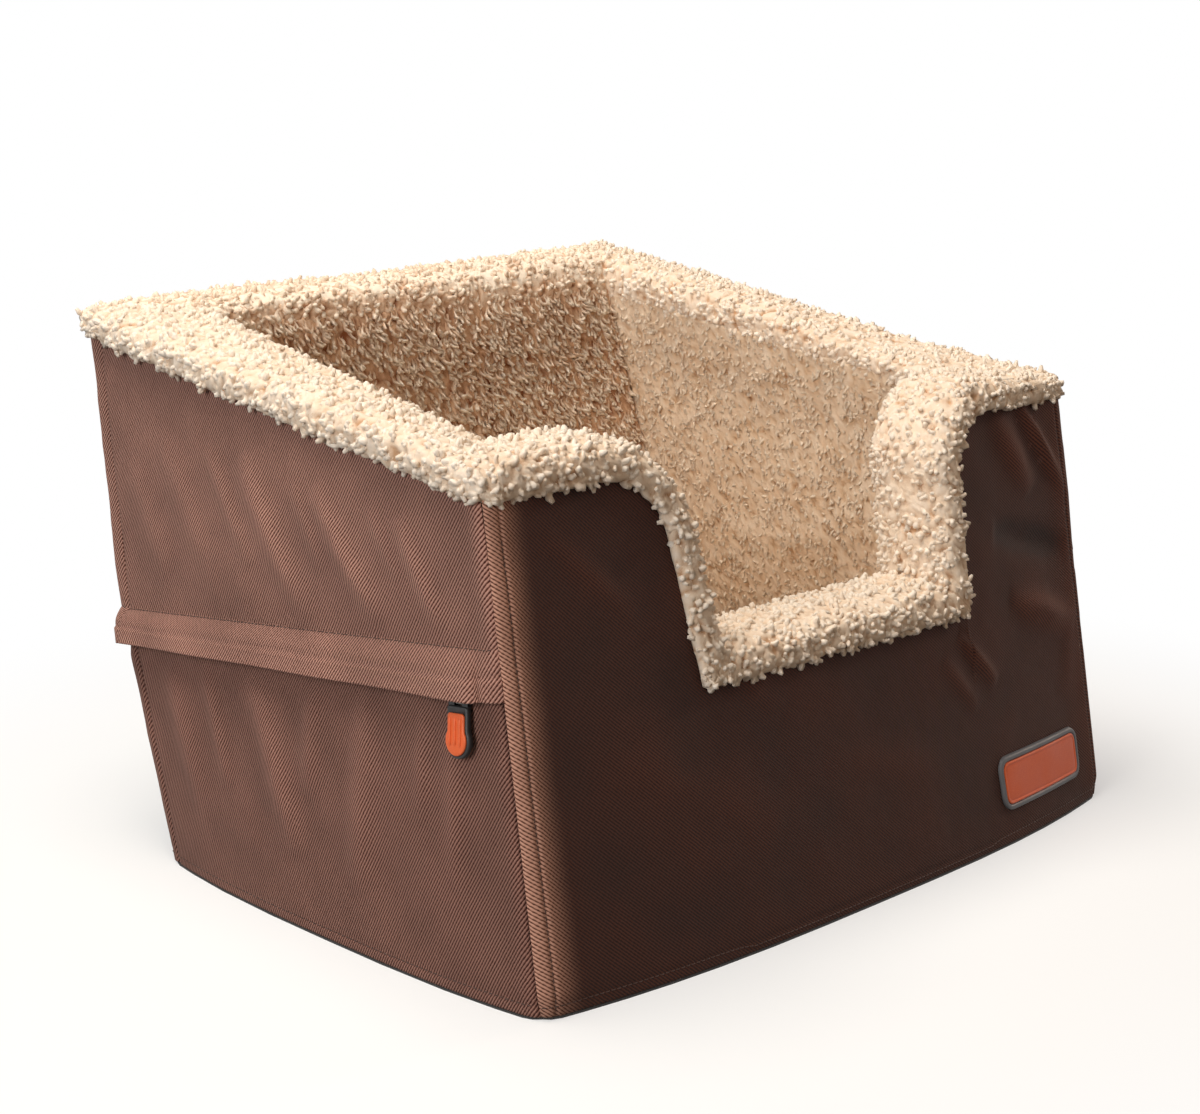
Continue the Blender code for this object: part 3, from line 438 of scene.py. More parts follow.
# Evenly spaced lines from low to high, with finer ones about the given seams
def gridLines(low, high, step, seams=(), reach=3 * mm, fine=0.6 * mm):
    lines = [np.linspace(low, high, max(2, int(math.ceil((high - low) / step)) + 1))]
    for seam in seams:
        lines.append(np.clip(np.arange(seam - reach, seam + reach + fine / 2, fine), low, high))
    lines = thinned(lines, fine * 0.45)
    lines[-1] = high
    return lines


# A groove along a seam: a narrow bell of the given depth and half width, in millimetres
def groove(distance, depth, width):
    return -(depth * mm) * np.exp(-((distance / (width * mm)) ** 2))


# Raised folds: each runs along a line, with a round section and ends that taper away
def foldLift(along, height, folds):
    lift = 0 * along
    for x0, z0, x1, z1, width, rise in folds:
        dx, dz = (x1 - x0) * mm, (z1 - z0) * mm
        length = math.hypot(dx, dz)
        share = ((along - x0 * mm) * dx + (height - z0 * mm) * dz) / length**2
        across = ((along - x0 * mm) * dz - (height - z0 * mm) * dx) / length
        lift = lift - groove(across, rise, width) * np.sin(np.pi * clamp(share)) ** 0.6
    return lift


# Four-cornered faces between neighbouring rings of point numbers
def ringQuads(index):
    turned = np.roll(index, -1, axis=-1)
    quads = [index[..., :-1, :], turned[..., :-1, :], turned[..., 1:, :], index[..., 1:, :]]
    return np.stack(quads, -1).reshape(-1, 4)


# Corners and counts of tubes of so many rings of so many points, closed at both ends
def ringFaces(*shape):
    index = np.arange(math.prod(shape)).reshape(shape)
    quads, caps = ringQuads(index), np.concatenate([index[:, 0, ::-1], index[:, -1]])
    return np.concatenate([quads.ravel(), caps.ravel()]), np.repeat([4, shape[-1]], [len(quads), len(caps)])


# Many tapering tubes at once, one along each spine: rings of points about the spine's points
def tubeMesh(spines, radii, ups, sides):
    along = unit(np.gradient(spines, axis=1))
    first = unit(ups[:, None] - along * np.sum(ups[:, None] * along, axis=-1, keepdims=True))
    second = np.cross(along, first)
    angle = np.arange(sides) * 2 * math.pi / sides
    rings = first[:, :, None] * np.cos(angle)[:, None] + second[:, :, None] * np.sin(angle)[:, None]
    points = spines[:, :, None] + rings * radii[..., None, None]
    return points.reshape(-1, 3), *ringFaces(*points.shape[:3])


# Points scattered over four-cornered faces by their area, with their normals
def scatter(cells, normals, spacing, rng):
    area = cellAreas(cells)
    pick = rng.choice(len(area), int(area.sum() / spacing**2), p=area / area.sum())
    u, v = rng.random((2, len(pick), 1))
    weights = np.stack([(1 - u) * (1 - v), u * (1 - v), u * v, (1 - u) * v], axis=1)
    return np.sum(weights * cells[pick], axis=1), unit(np.sum(weights * normals[pick], axis=1))


# Points along a lock, how far its arc starts below its foot, its thickness along its length and its tone, which
# paints shade darkest at the foot, and the ranges that are drawn from at random
lockShape = {
    "stations": 5, "start": 0.35, "plumpAt": (0, 0.4, 0.75, 1), "plump": (0.75, 1, 0.9, 0.5), "footTone": 0.5,
    "radiusRange": (0.7, 1.3), "turnRange": (0.7, 1.25), "thicknessRange": (0.75, 1.25), "toneRange": (0.75, 1.1),
}


# Curled locks of pile: each spine is an arc that rises from the surface and bends over to one side, swaying as
# it goes. A comb direction lays them one way, and they are plump in the middle and blunt at the tip.
def pileLocks(name, cells, normals, look, material):
    rng = np.random.default_rng(look["seed"])
    foot, normal = scatter(cells, normals, look["spacing"] * mm, rng)
    across, low, high = np.array(look.get("bare", (0, 0, 0))) * mm
    kept = (np.abs(foot[:, 0]) > across) | (foot[:, 2] < low) | (foot[:, 2] > high)
    foot, normal = foot[kept], normal[kept]
    count = len(foot)
    comb = np.array(look["comb"]) + rng.normal(0, look["scatter"], (count, 3))
    tangent = unit(comb - normal * np.sum(comb * normal, axis=-1, keepdims=True))
    sideways = np.cross(normal, tangent)
    tilt = rng.uniform(-1, 1, (count, 1)) * look["tilt"]
    over = normal * np.cos(tilt) + sideways * np.sin(tilt)
    radius = look["radius"] * mm * rng.uniform(*lockShape["radiusRange"], (count, 1))
    share = np.linspace(0, 1, lockShape["stations"])[None]
    bend = share * (1 + lockShape["start"]) - lockShape["start"]
    turn = bend * look["turn"] * rng.uniform(*lockShape["turnRange"], (count, 1))
    sway = look["sway"] * mm * np.sin(2 * math.pi * (share + rng.random((count, 1))))
    along, aside = radius * np.sin(turn), radius * (1 - np.cos(turn))
    spines = foot[:, None] + tangent[:, None] * along[..., None] + sideways[:, None] * sway[..., None]
    spines = spines + over[:, None] * aside[..., None] - normal[:, None] * look["sunk"] * mm
    plump = np.interp(share, lockShape["plumpAt"], lockShape["plump"])
    radii = look["thickness"] / 2 * mm * rng.uniform(*lockShape["thicknessRange"], (count, 1)) * plump
    points, loops, counts = tubeMesh(spines, radii, sideways, look["sides"])
    # Painted shade: a lock's tone runs from footTone at its foot to full at its tip
    tips = np.linspace(lockShape["footTone"], 1, lockShape["stations"])[None]
    tips = tips * rng.uniform(*lockShape["toneRange"], (count, 1))
    tone = np.repeat(tips * look.get("tips", 1), look["sides"])
    return newPiece(name, points, loops, counts, material, "fleece", tone=tone)


# By the size of a clump: the warp's size and reach. By a cell: where a dome ends. Then its least height and how
# much its seed adds, and the shares of clumps and curls.
pileShape = {"warpSize": 1.3, "warpReach": 0.9, "domeEdge": 0.8, "least": 0.7, "added": 0.3, "clumps": 0.6,
             "curls": 0.4}


# Height of a curly pile from 0 to 1: round clumps that carry smaller curls, bent by soft noise
def pileHeight(points, look, seed, stretch=(1, 1, 1)):
    clump, curl = look["clump"] * mm, look["curl"] * mm
    warp = np.stack([softNoise(points, clump * pileShape["warpSize"], seed + k) for k in (10, 20, 30)], axis=-1) - 0.5
    bent = points * np.array(stretch) + warp * clump * pileShape["warpReach"]
    big, bigTone = seedDistance(bent, clump, seed)
    small, _ = seedDistance(bent + warp * curl, curl, seed + 5)
    domes, curls = (np.sqrt(clamp(1 - (far / pileShape["domeEdge"]) ** 2)) for far in (big, small))
    domes = domes * (pileShape["least"] + pileShape["added"] * bigTone)
    return pileShape["clumps"] * domes + pileShape["curls"] * curls


# A wave texture's bands at scale 1, and the width of a rib of twill. A real rib is about 1.2 mm wide and is drawn
# half again as wide, or it would be finer than a pixel.
bandWidth = 0.31416
ribWidth = 1.6


# Polyester twill, woven in steep diagonal ribs: matt, with a light dusty sheen that lifts its lit side, darker
# valleys between the ribs, and a tone by the cloth's lift: on raised folds partly wear and partly painted
# highlight, and in hollows painted shade
def polyesterTwill(name, lean, colours, strength, bent=None, wear=0.32):
    material, tree = newMaterial(name, {"Roughness": 0.82, "Sheen Weight": 0.12, "Sheen Roughness": 0.45,
                                        "Sheen Tint": linear("#c9b3a6"), "Specular IOR Level": 0.25})
    place = inMillimetres(tree, weavePlace(tree))
    across = addNode(tree, "ShaderNodeMapping", {"Vector": place, "Rotation": (0, 0, -math.radians(lean))}).outputs[0]
    ribs = bandsNode(tree, across, ribWidth, "Y", 0.9, 2.0, 1.2)
    floats = bandsNode(tree, across, 1.6 * ribWidth, "X", 6.0, 1.0)
    weave = mathNode(tree, floats, 0.22, ribs)
    mixed = mathNode(tree, noiseNode(tree, place, 1.1, 3.0), 0.55, weave)
    stops = (0.3, 0.75, 1.15)
    cloth = rampNode(tree, mixed, *zip(stops, colours))
    # Painted light: within about 5 to 26 mm of the left end the colour blends into the lighter bent ramp
    if bent:
        lit = rampNode(tree, mixed, *zip(stops, bent))
        side = addNode(tree, "ShaderNodeSeparateXYZ", {0: place}).outputs["X"]
        near = rangeNode(tree, side, 5.0, 26.0, 1.0, 0.0, "SMOOTHSTEP")
        cloth = addNode(tree, "ShaderNodeMixRGB", {"Fac": near, "Color1": cloth, "Color2": lit}).outputs[0]
    shade = rangeNode(tree, noiseNode(tree, place, 0.022, 3.0), 0.3, 0.7, 0.86, 1.12)
    # Painted highlight on raised cloth and painted shade in hollows, partly wear on the sides' folds: depthTone times
    # wear, added to a random tone
    tone = mathNode(tree, depthTone(tree), wear, shade)
    colour = addNode(tree, "ShaderNodeVectorMath", {0: cloth, "Scale": tone}, operation="SCALE").outputs[0]
    return finishMaterial(material, colour, mixed, 0.0004, strength)


# Polyester sherpa fleece, knitted and brushed into curls: no gloss, a soft rim of sheen, cream tips, and painted
# shade that darkens it to warm tan in the hollows between the curls. depthTone is 0 in a hollow and 1 at a tip.
def sherpaFleece(name, deep, middle, tip, strand=1.3):
    material, tree = newMaterial(name, {"Roughness": 1.0, "Sheen Weight": 0.15, "Sheen Roughness": 0.6,
                                        "Sheen Tint": linear("#fff4e2"), "Specular IOR Level": 0.1})
    place = objectPlace(tree)
    fibres = noiseNode(tree, place, 1300 / strand, 4.0, Roughness=0.7, Distortion=1.2)
    mixed = mathNode(tree, fibres, 0.42, depthTone(tree))
    eased = mathNode(tree, noiseNode(tree, place, 28.0, 3.0), 0.30, mixed)
    spread = rangeNode(tree, eased, 0.42, 1.35)
    colour = rampNode(tree, spread, (0.0, deep), (0.45, middle), (1.0, tip))
    return finishMaterial(material, colour, fibres, 0.0008, 0.8)


# Spun polyester sewing thread, two plies twisted: slightly glossier than the cloth it holds
def sewingThread(name, dark, light):
    material, tree = newMaterial(name, {"Roughness": 0.55, "Specular IOR Level": 0.4})
    twist = noiseNode(tree, objectPlace(tree), 2600.0, 1.0)
    return finishMaterial(material, rampNode(tree, twist, (0.3, dark), (0.7, light)), twist, 0.0001, 0.5)


twillSide = polyesterTwill("polyester_twill_sides", 52, ("#34170f", "#74483b", "#a98072"), 0.9)
# The lower cloth takes a darker copy of the side twill: painted shade of the lower walls
twillLowShaded = polyesterTwill("polyester_twill_low_shaded", 52, ("#2c120c", "#653c31", "#956e61"), 0.9)
# The front's ribs run along the other diagonal. Its colours are a darker, plainer copy of the twill: painted
# shade of a face that the lamps barely reach. Next to the left corner, as its bent colours, it blends into a lighter
# copy: painted light. Its wear of 0.9 paints a strong highlight on raised folds and corners and shade in hollows.
twillFrontShaded = polyesterTwill("polyester_twill_front_shaded", -42, ("#160805", "#2b120a", "#47261a"), 0.5,
                            bent=("#3b241d", "#785244", "#a07a69"), wear=0.9)
# Each fleece's first colour is the painted shade deep in its hollows; the back's is a deeper brown
curlyFleece = sherpaFleece("sherpa_fleece_cuff", "#c99c76", "#f0d8be", "#fff2e2")
longFleece = sherpaFleece("sherpa_fleece_back", "#8a5030", "#d8b08e", "#fff0dc", strand=1.6)
softFleece = sherpaFleece("sherpa_fleece_brushed", "#b08059", "#dfbf9d", "#f9e6cf", strand=1.0)
brownThread = sewingThread("polyester_thread_brown", "#2e1d17", "#553a2f")
blackThread = sewingThread("polyester_thread_black", "#0f0e0e", "#2a2827")


# A material whose colour and bump come from one grain: a noise or the cells of a Voronoi texture
def grained(name, low, high, grain, bump, constants, cells=False):
    material, tree = newMaterial(name, constants)
    place, scale, rough = objectPlace(tree), 1 / (grain * mm), constants["Roughness"]
    if cells:
        tone = addNode(tree, "ShaderNodeTexVoronoi", {"Vector": place, "Scale": scale}).outputs["Distance"]
    else:
        tone = noiseNode(tree, place, scale, 4.0, Roughness=0.6)
    wear = rangeNode(tree, noiseNode(tree, place, 60.0), 0.3, 0.7, rough - 0.06, min(1, rough + 0.06))
    tree.links.new(wear, tree.nodes["Principled BSDF"].inputs["Roughness"])
    return finishMaterial(material, rampNode(tree, tone, (0.3, low), (0.7, high)), tone, bump * mm, 0.6)


# Plain weave from two crossed bands, over and under like a basket, by the yarn's width: on webbing its ribs run
# across the strap
def wovenMaterial(name, low, high, yarn, constants, placeOf=objectPlace):
    material, tree = newMaterial(name, constants)
    place = inMillimetres(tree, placeOf(tree))
    bands = [bandsNode(tree, place, yarn * wide, way, 0.6, 1.0) for way, wide in (("X", 2), ("Y", 1))]
    over = mathNode(tree, bands[0], 0.35, bands[1])
    mixed = mathNode(tree, noiseNode(tree, place, 1.6, 3.0), 0.5, over)
    return finishMaterial(material, rampNode(tree, mixed, (0.3, low), (1.0, high)), mixed, 0.0003, 0.6)


# Soft moulded PVC: a fine matt skin from the mould, a little gloss at edges
softPvc = {"Roughness": 0.48, "Specular IOR Level": 0.45}
blackRubber = grained("moulded_pvc_black", "#141414", "#232222", 0.5, 0.05, softPvc)
orangeRubber = grained("moulded_pvc_orange", "#e05a2a", "#ee7238", 0.5, 0.05, softPvc)
greyRubber = grained("moulded_pvc_grey", "#4b4a4c", "#5c5b5d", 0.5, 0.05, softPvc)
# Zinc alloy cast, barrelled and plated in black nickel: smooth, with faint pits
blackNickel = grained("black_nickel_plate", "#5a5651", "#76716b", 0.8, 0.02, {"Roughness": 0.3, "Metallic": 1.0})
# Coil teeth of drawn nylon, dyed brown: smooth, slightly waxy
nylonCoil = grained("dyed_nylon_coil", "#2c1c16", "#3b271f", 0.6, 0.02, {"Roughness": 0.4})
# Hidden layers: pressed fibreboard with flecks, open-celled foam with tiny pits
fibreboard = grained("pressed_fibreboard", "#6f675a", "#918875", 1.2, 0.10, {"Roughness": 0.85})
seatFoam = grained("open_cell_foam", "#d9d2bd", "#efe9d8", 1.4, 0.35, {"Roughness": 0.9}, cells=True)
# Woven goods: matt filament yarns whose crowns catch a little light
webbingYarn = wovenMaterial("polypropylene_webbing", "#0e0d0d", "#3a3736", 1.5, {"Roughness": 0.62}, weavePlace)
tapeYarn = wovenMaterial("polyester_zip_tape", "#2c1d17", "#5d443a", 0.7, {"Roughness": 0.85})
baseCloth = wovenMaterial("coated_oxford_base", "#0f0e0e", "#2b2928", 1.0, {"Roughness": 0.7})
print("materials ready")


# A piece of the walls' cloth: a grid of places and heights, lifted off the wall, whose inner side is a coarser
# grid one thickness behind it. Its weave coordinates are its distance along the wall and its height, in metres.
def clothPiece(name, places, heights, stand, lift, thickness, material, replaced):
    places, heights = np.broadcast_arrays(places, heights)
    points = wallPoint(places, heights, -stand)
    normals = gridNormals(points, points - seatCentre)
    points = points + normals * lift[..., None]
    along = alongWall(places)
    picks = [pickLines(count, panels["coarse"]) for count in heights.shape]
    picked = np.ix_(*picks)
    behind = (points - normals * (thickness + 0 * lift)[..., None])[picked]
    uv = np.stack([along + 0 * heights, heights], axis=-1)
    # depthTone is the lift, full at toneLift: it carries the twill's painted highlight on folds and painted shade in
    # hollows
    tone = np.clip(lift / (panels["toneLift"] * mm), -0.6, 1)
    piece = shellPiece(name, points, behind, material, "twill", picks, replaced=replaced,
                       uv=np.concatenate([uv.reshape(-1, 2), uv[picked].reshape(-1, 2)]),
                       tone=np.concatenate([tone.ravel(), tone[picked].ravel()]))
    cutArea = cellAreas(gridCells(wallPoint(places, heights, 0))).sum()
    return points, normals


def sideLength(side):
    return bucket["width"] if side in (front, back) else bucket["depth"]


# Loose undulation of cloth, from soft noise on the wall, in metres
def clothWave(along, height, size, rise, seed):
    spots = np.stack([along + 0 * height, height + 0 * along, 0 * along + 0 * height], axis=-1)
    return (softNoise(spots, size * mm, seed) - 0.5) * 2 * rise * mm


panels = {
    # Its blank is cut this much longer and taller, its inner side has every fourth line, and its tone is full at
    # this lift
    "cutAlong": 1.0, "cutUp": 2.0, "coarse": 4, "toneLift": 3.0,
    "step": 2.4, "foldRise": 1.4, "seamDepth": 1.3, "seamWidth": 1.6, "stitchDepth": 0.55, "stitchWidth": 1.0,
    "stitchBelow": 1.2, "endSeamDepth": 0.5, "hem": 2.3, "hemLine": 7.0, "hemDepth": 0.5, "hemWidth": 1.0,
    "ridgeLow": 2.2, "ridgeHigh": 4.2, "ridgeWidth": 7.0, "ridgeGrows": 30,
    # Lines up the flap and up the walls, by shares of their height
    "flapLines": {"step": 0.07, "reach": 0.12, "fine": 0.025},
    "wallLines": {"step": 0.018, "reach": 0.03, "fine": 0.006},
    # Size and rise of loose waves and of finer ripples, and the pucker that the stitches draw
    "upperWave": (26, 0.5), "upperRipple": (9, 0.16), "lowerWave": (24, 0.45), "lowerRipple": (8, 0.12),
    "puckerPitch": 6.5, "puckerWander": 30, "puckerRise": 0.16, "puckerReach": 6, "looseRise": 0.8, "looseTurns": 55,
    # The lower cloth lies calm within these distances of its top and of the floor
    "calmTop": 14, "calmFloor": 10, "calmRidge": 9,
    # Folds of each wall: start x, z, end x, z, half width and rise, in millimetres from the wall's left end
    "leftUpper": ((60, 262, 108, 172, 12, 1.2), (112, 258, 146, 196, 7, 1.3), (146, 257, 196, 174, 11, 2.8),
                  (196, 250, 216, 204, 6, 1.0), (216, 250, 262, 184, 9, 2.4), (262, 246, 284, 210, 5, 0.9),
                  (288, 244, 314, 190, 7, 1.9), (24, 232, 54, 176, 12, 1.2)),
    "leftLower": ((34, 122, 52, 34, 12, 1.9), (78, 126, 84, 62, 7, 1.5), (128, 132, 150, 40, 12, 2.4),
                  (186, 140, 168, 74, 8, 1.6), (236, 146, 204, 34, 11, 2.1), (282, 148, 268, 84, 6, 1.3),
                  (304, 150, 292, 56, 7, 1.4)),
}


# The other side's folds, from the other end of its length
def mirrored(folds, length):
    return tuple((length - x0, z0, length - x1, z1, width, rise) for x0, z0, x1, z1, width, rise in folds)


# Columns of a side's cloth from seam to seam: the front seams stand on the corners, and the back's cloth wraps
# both of its own. They are finer near the seams and round the corners' arcs.
def clothColumns(side, extra=()):
    reach, length = bucket["cornerRadius"], sideLength(side)
    start = {back: -reach, left: reach}.get(side, 0)
    end = {back: length + reach, right: length - reach}.get(side, length)
    lines = [gridLines(start, end, panels["step"] * mm, (start, end)), np.array(extra)]
    for corner in (0, length):
        arc = np.linspace(corner - reach, corner + reach, 25)
        lines.append(arc[(arc > start) & (arc < end)])
    lines = thinned(lines, 0.25 * mm)
    lines[-1] = end - 0.15 * mm
    lines[0] = start + 0.15 * mm
    before, after = sideLength((side - 1) % 4), sideLength((side + 1) % 4)
    return np.where(lines < 0, side + lines / before,
                    np.where(lines > length, side + 1 + (lines - length) / after, side + lines / length))


# The cloth stands up in a soft ridge along each corner, where its seam is stitched: a bell across the corner
def cornerRidge(places, heights):
    side = np.floor(places).astype(int) % 4
    distance = np.abs(places - np.round(places)) * np.where(side % 2 == 0, bucket["width"], bucket["depth"])
    above = clamp((heights - zipHeight(places)) / (panels["ridgeGrows"] * mm))
    rise = panels["ridgeLow"] + (panels["ridgeHigh"] - panels["ridgeLow"]) * above
    return -groove(distance, rise, panels["ridgeWidth"])


def edgeDistance(along, length=None):
    return np.minimum(along, (along.max() if length is None else length) - along)


# The dent of a cloth's lower hem
def hemGroove(heights):
    return groove(heights - panels["hemLine"] * mm, panels["hemDepth"], panels["hemWidth"])


# Marks the hem for stitches
def stitchHem(points, normals, heights):
    row = int(np.argmin(np.abs(heights[:, 0] - panels["hemLine"] * mm)))
    stitches.append((points[row], normals[row]))


# Upper cloth of a side with its flap in one, from the flap's free edge up to the rim: the flap bells out over
# the zip by a quarter sine, and a line of stitches holds it above. q is 0 to 1 on the flap and 1 to 2 above it.
def upperCloth(side, folds, seed):
    places = clothColumns(side)[None]
    low, seam, top = zipHeight(places) - zipLine["flapDrop"], flapTop(places), rimHeight(places)
    flapPart = gridLines(0, 1, seams=(0, 1), **panels["flapLines"])
    upperPart = gridLines(0, 1, seams=(0,), **panels["wallLines"])[1:]
    q = np.concatenate([flapPart, 1 + upperPart])[:, None]
    heights = np.where(q <= 1, low + (seam - low) * q, seam + (top - seam) * (q - 1))
    frontEnd = {right: right, left: left + 1}.get(side)
    fromEnd = 1 if frontEnd is None else np.abs(places - frontEnd) * bucket["depth"] - bucket["cornerRadius"]
    ease = np.clip(fromEnd / zipLine["flapEase"], zipLine["flapEndShare"], 1)
    stand = zipLine["flapStand"] * ease * np.sin(np.pi / 2 * clamp((1 - q) / 0.5)) * (q < 1)
    along = alongWall(places)[None]
    lift = panels["foldRise"] * foldLift(along + 0 * heights, heights, folds) * clamp((q - 0.85) / 0.35)
    lift = lift + clothWave(along, heights, *panels["upperWave"], seed)
    lift = lift + clothWave(along, heights, *panels["upperRipple"], seed + 1)
    wander = 4 * clothWave(along, heights, panels["puckerWander"], 1 / mm, seed + 2)
    pucker = np.sin(along / (panels["puckerPitch"] * mm) * 2 * math.pi + wander)
    nearSeam = np.exp(-np.abs(heights - seam) / (panels["puckerReach"] * mm))
    lift = lift + panels["puckerRise"] * mm * pucker * nearSeam
    belowSeam = heights - seam + panels["stitchBelow"] * mm
    lift = lift + groove(belowSeam, panels["stitchDepth"], panels["stitchWidth"])
    thickness = np.where(q < 0.42, panels["hem"] * mm, bucket["cloth"])
    sway = 1 + np.sin(along * panels["looseTurns"] + seed)
    loose = panels["looseRise"] * mm * sway * clamp(1 - q / 0.6) * ease
    lift = np.where(q < 1, np.maximum(lift, -0.1 * mm), lift) + loose + thickness * clamp((1 - q) / 0.4)
    lift = lift + cornerRidge(places, heights) * np.clip(q, 0.3, 1)
    lift = lift + groove(edgeDistance(along), panels["endSeamDepth"], panels["seamWidth"])
    name = sideNames[side]
    points, normals = clothPiece(f"upper_cloth_{name}", places, heights, stand, lift, thickness, twillSide,
                                 (f"{name}_upper_panel", f"{name}_zip_flap"))
    row = int(np.argmin(np.abs(q[:, 0] - 1 + 0.03)))
    stitches.append((points[row], normals[row]))


# Lower cloth of a side, from the floor up to the zip
def lowerCloth(side, folds, seed):
    places = clothColumns(side)[None]
    top = zipHeight(places) - zipLine["slot"] / 2
    v = gridLines(0, 1, seams=(0, 1), **panels["wallLines"])[:, None]
    heights = bucket["cloth"] + 0.3 * mm + (top - bucket["cloth"]) * v
    along = alongWall(places, 0.1)[None]
    calm = clamp((top - heights) / (panels["calmTop"] * mm)) * clamp(heights / (panels["calmFloor"] * mm))
    rise = panels["foldRise"] * foldLift(along + 0 * heights, heights, folds)
    lift = (rise + clothWave(along, heights, *panels["lowerWave"], seed)) * calm
    lift = lift + clothWave(along, heights, *panels["lowerRipple"], seed + 1) * calm
    lift = lift + cornerRidge(places, heights) * clamp((top - heights) / (panels["calmRidge"] * mm))
    lift = lift + groove(edgeDistance(along), panels["seamDepth"], panels["seamWidth"])
    lift = lift + hemGroove(heights)
    name = sideNames[side]
    points, normals = clothPiece(f"lower_cloth_{name}", places, heights, 0, lift, bucket["cloth"], twillLowShaded,
                                 (f"{name}_lower_panel",))
    stitchHem(points, normals, heights)


stitches = []
rightUpper = mirrored(panels["leftUpper"][::3], 312)
rightLower = mirrored(panels["leftLower"][1::3], 340)
backUpper = ((60, 270, 80, 170, 9, 1.3), (150, 272, 160, 165, 9, 1.0), (250, 275, 240, 165, 10, 1.2),
             (340, 272, 330, 165, 9, 1.0), (430, 268, 410, 170, 9, 1.3))
backLower = ((70, 110, 76, 30, 10, 1.2), (180, 112, 176, 30, 11, 1.2), (300, 112, 306, 28, 11, 1.2),
             (420, 110, 412, 30, 10, 1.2))
upperCloth(left, panels["leftUpper"], 3)
upperCloth(right, rightUpper, 5)
upperCloth(back, backUpper, 7)
lowerCloth(left, panels["leftLower"], 13)
lowerCloth(right, rightLower, 15)
lowerCloth(back, backLower, 17)
print("side and back cloth made")

frontCloth = {
    "stitchLines": (9 * mm, bucket["width"] - 9 * mm), "stitchDepth": 1.0, "stitchWidth": 1.1,
    "edgeDepth": 0.5, "edgeWidth": 1.2, "wave": (30, 0.6), "ripple": (9, 0.15), "calmFloor": 12,
    "cornerReach": 22, "cornerRise": 3.4, "lines": {"step": 0.0085, "reach": 0.02, "fine": 0.003},
    # Extra lines over the notch's steep posts, from x to x by a step, and about the stitches
    "postLines": (0.1075, 0.1180, 0.0007), "nearStitches": 0.5,
    # Folds: start x, z, end x, z, half width and rise, in millimetres from the left seam
    "folds": ((455, 264, 506, 188, 5, 6.5), (430, 258, 458, 205, 10, 4.0), (412, 188, 490, 166, 9, -4.2),
              (420, 144, 490, 118, 10, 5.0), (358, 132, 392, 98, 5, 3.2), (340, 122, 368, 86, 6, 2.0),
              (500, 150, 470, 70, 8, 1.4), (120, 210, 190, 120, 10, 1.2), (60, 120, 180, 60, 12, 1.2),
              (220, 90, 330, 60, 12, 1.1), (36, 240, 92, 190, 7, 1.3)),
}


# The front's cloth, round both its corners: heights run from the floor to the rim or the notch's edge
def makeFrontCloth():
    steep = [sign * x for sign in (-1, 1) for x in np.arange(*frontCloth["postLines"])]
    stitchLines = [line + k * frontCloth["nearStitches"] * mm
                   for line in frontCloth["stitchLines"] for k in range(-4, 5)]
    places = clothColumns(front, [bucket["width"] / 2 + x for x in steep] + stitchLines)[None]
    across = wallPoint(places, 0.2, 0)[..., 0]
    top = notchTop(across, rimHeight(places))
    v = gridLines(0, 1, seams=(0,), **frontCloth["lines"])[:, None]
    low = bucket["cloth"] + 0.3 * mm
    heights = low + (top - low) * v
    along = alongWall(places, 0.13)[None]
    calm = clamp(heights / (frontCloth["calmFloor"] * mm))
    lift = foldLift(along + 0 * heights, heights, frontCloth["folds"])
    lift = lift + clothWave(along, heights, *frontCloth["wave"], 31)
    lift = lift * calm + clothWave(along, heights, *frontCloth["ripple"], 32) * calm
    fromCorner = edgeDistance(places * bucket["width"], bucket["width"])
    rounded = np.exp(-((fromCorner / (frontCloth["cornerReach"] * mm)) ** 2))
    lift = np.maximum(lift, 0) * (1 - rounded) + np.minimum(lift, 0) + cornerRidge(places, heights) * 0.5 + (
        frontCloth["cornerRise"] * mm * rounded * calm)
    lift = lift + groove(edgeDistance(along), frontCloth["edgeDepth"], frontCloth["edgeWidth"])
    fromStitches = fromCorner - frontCloth["stitchLines"][0]
    lift = lift + groove(fromStitches, frontCloth["stitchDepth"], frontCloth["stitchWidth"])
    lift = lift + hemGroove(heights)
    points, normals = clothPiece("front_cloth", places, heights, 0, lift, bucket["cloth"], twillFrontShaded,
                                 ("front_panel",))
    stitchHem(points, normals, heights)
    for line in frontCloth["stitchLines"]:
        column = int(np.argmin(np.abs(places[0] * bucket["width"] - line)))
        stitches.append((points[3:-12, column], normals[3:-12, column]))


makeFrontCloth()
print("front cloth made")

cuff = {
    "drop": 11.5, "innerDrop": 13.4, "rise": 10.0, "proud": 6.5, "innerProud": 5.0, "power": 2.6, "gap": 0.6,
    "step": 1.4, "pile": 3.6, "raggedEdge": 2.0, "raggedSize": 0.007, "tuck": 11.0,
    "unevenness": 1.4, "unevenSize": 0.018, "hidden": 0.3, "clump": 8.0, "curl": 4.2,
    "sideRun": 0.39, "backRun": 0.43, "pastCorner": 0.003,
}


# How much of its full rise the crown has at each place: on the right it is pulled flat near the front and stands
# high at the rear corner, as the photograph shows
crownShares = {
    "places": (0, 1, 1.25, 1.32, 1.4, 1.55, 1.67, 1.77, 1.92, 2, 2.5, 2.8, 2.93, 3, 3.06, 3.15, 4),
    "shares": (1, 0.22, 0.22, 0.4, 0.8, 1.1, 1.45, 1.65, 1.9, 1.95, 1.1, 0.9, 0.8, 0.5, 0.8, 0.95, 1),
}


def crownHeight(place, height):
    share = np.interp(place, crownShares["places"], crownShares["shares"])
    return np.where(height > 0, height * share, height)


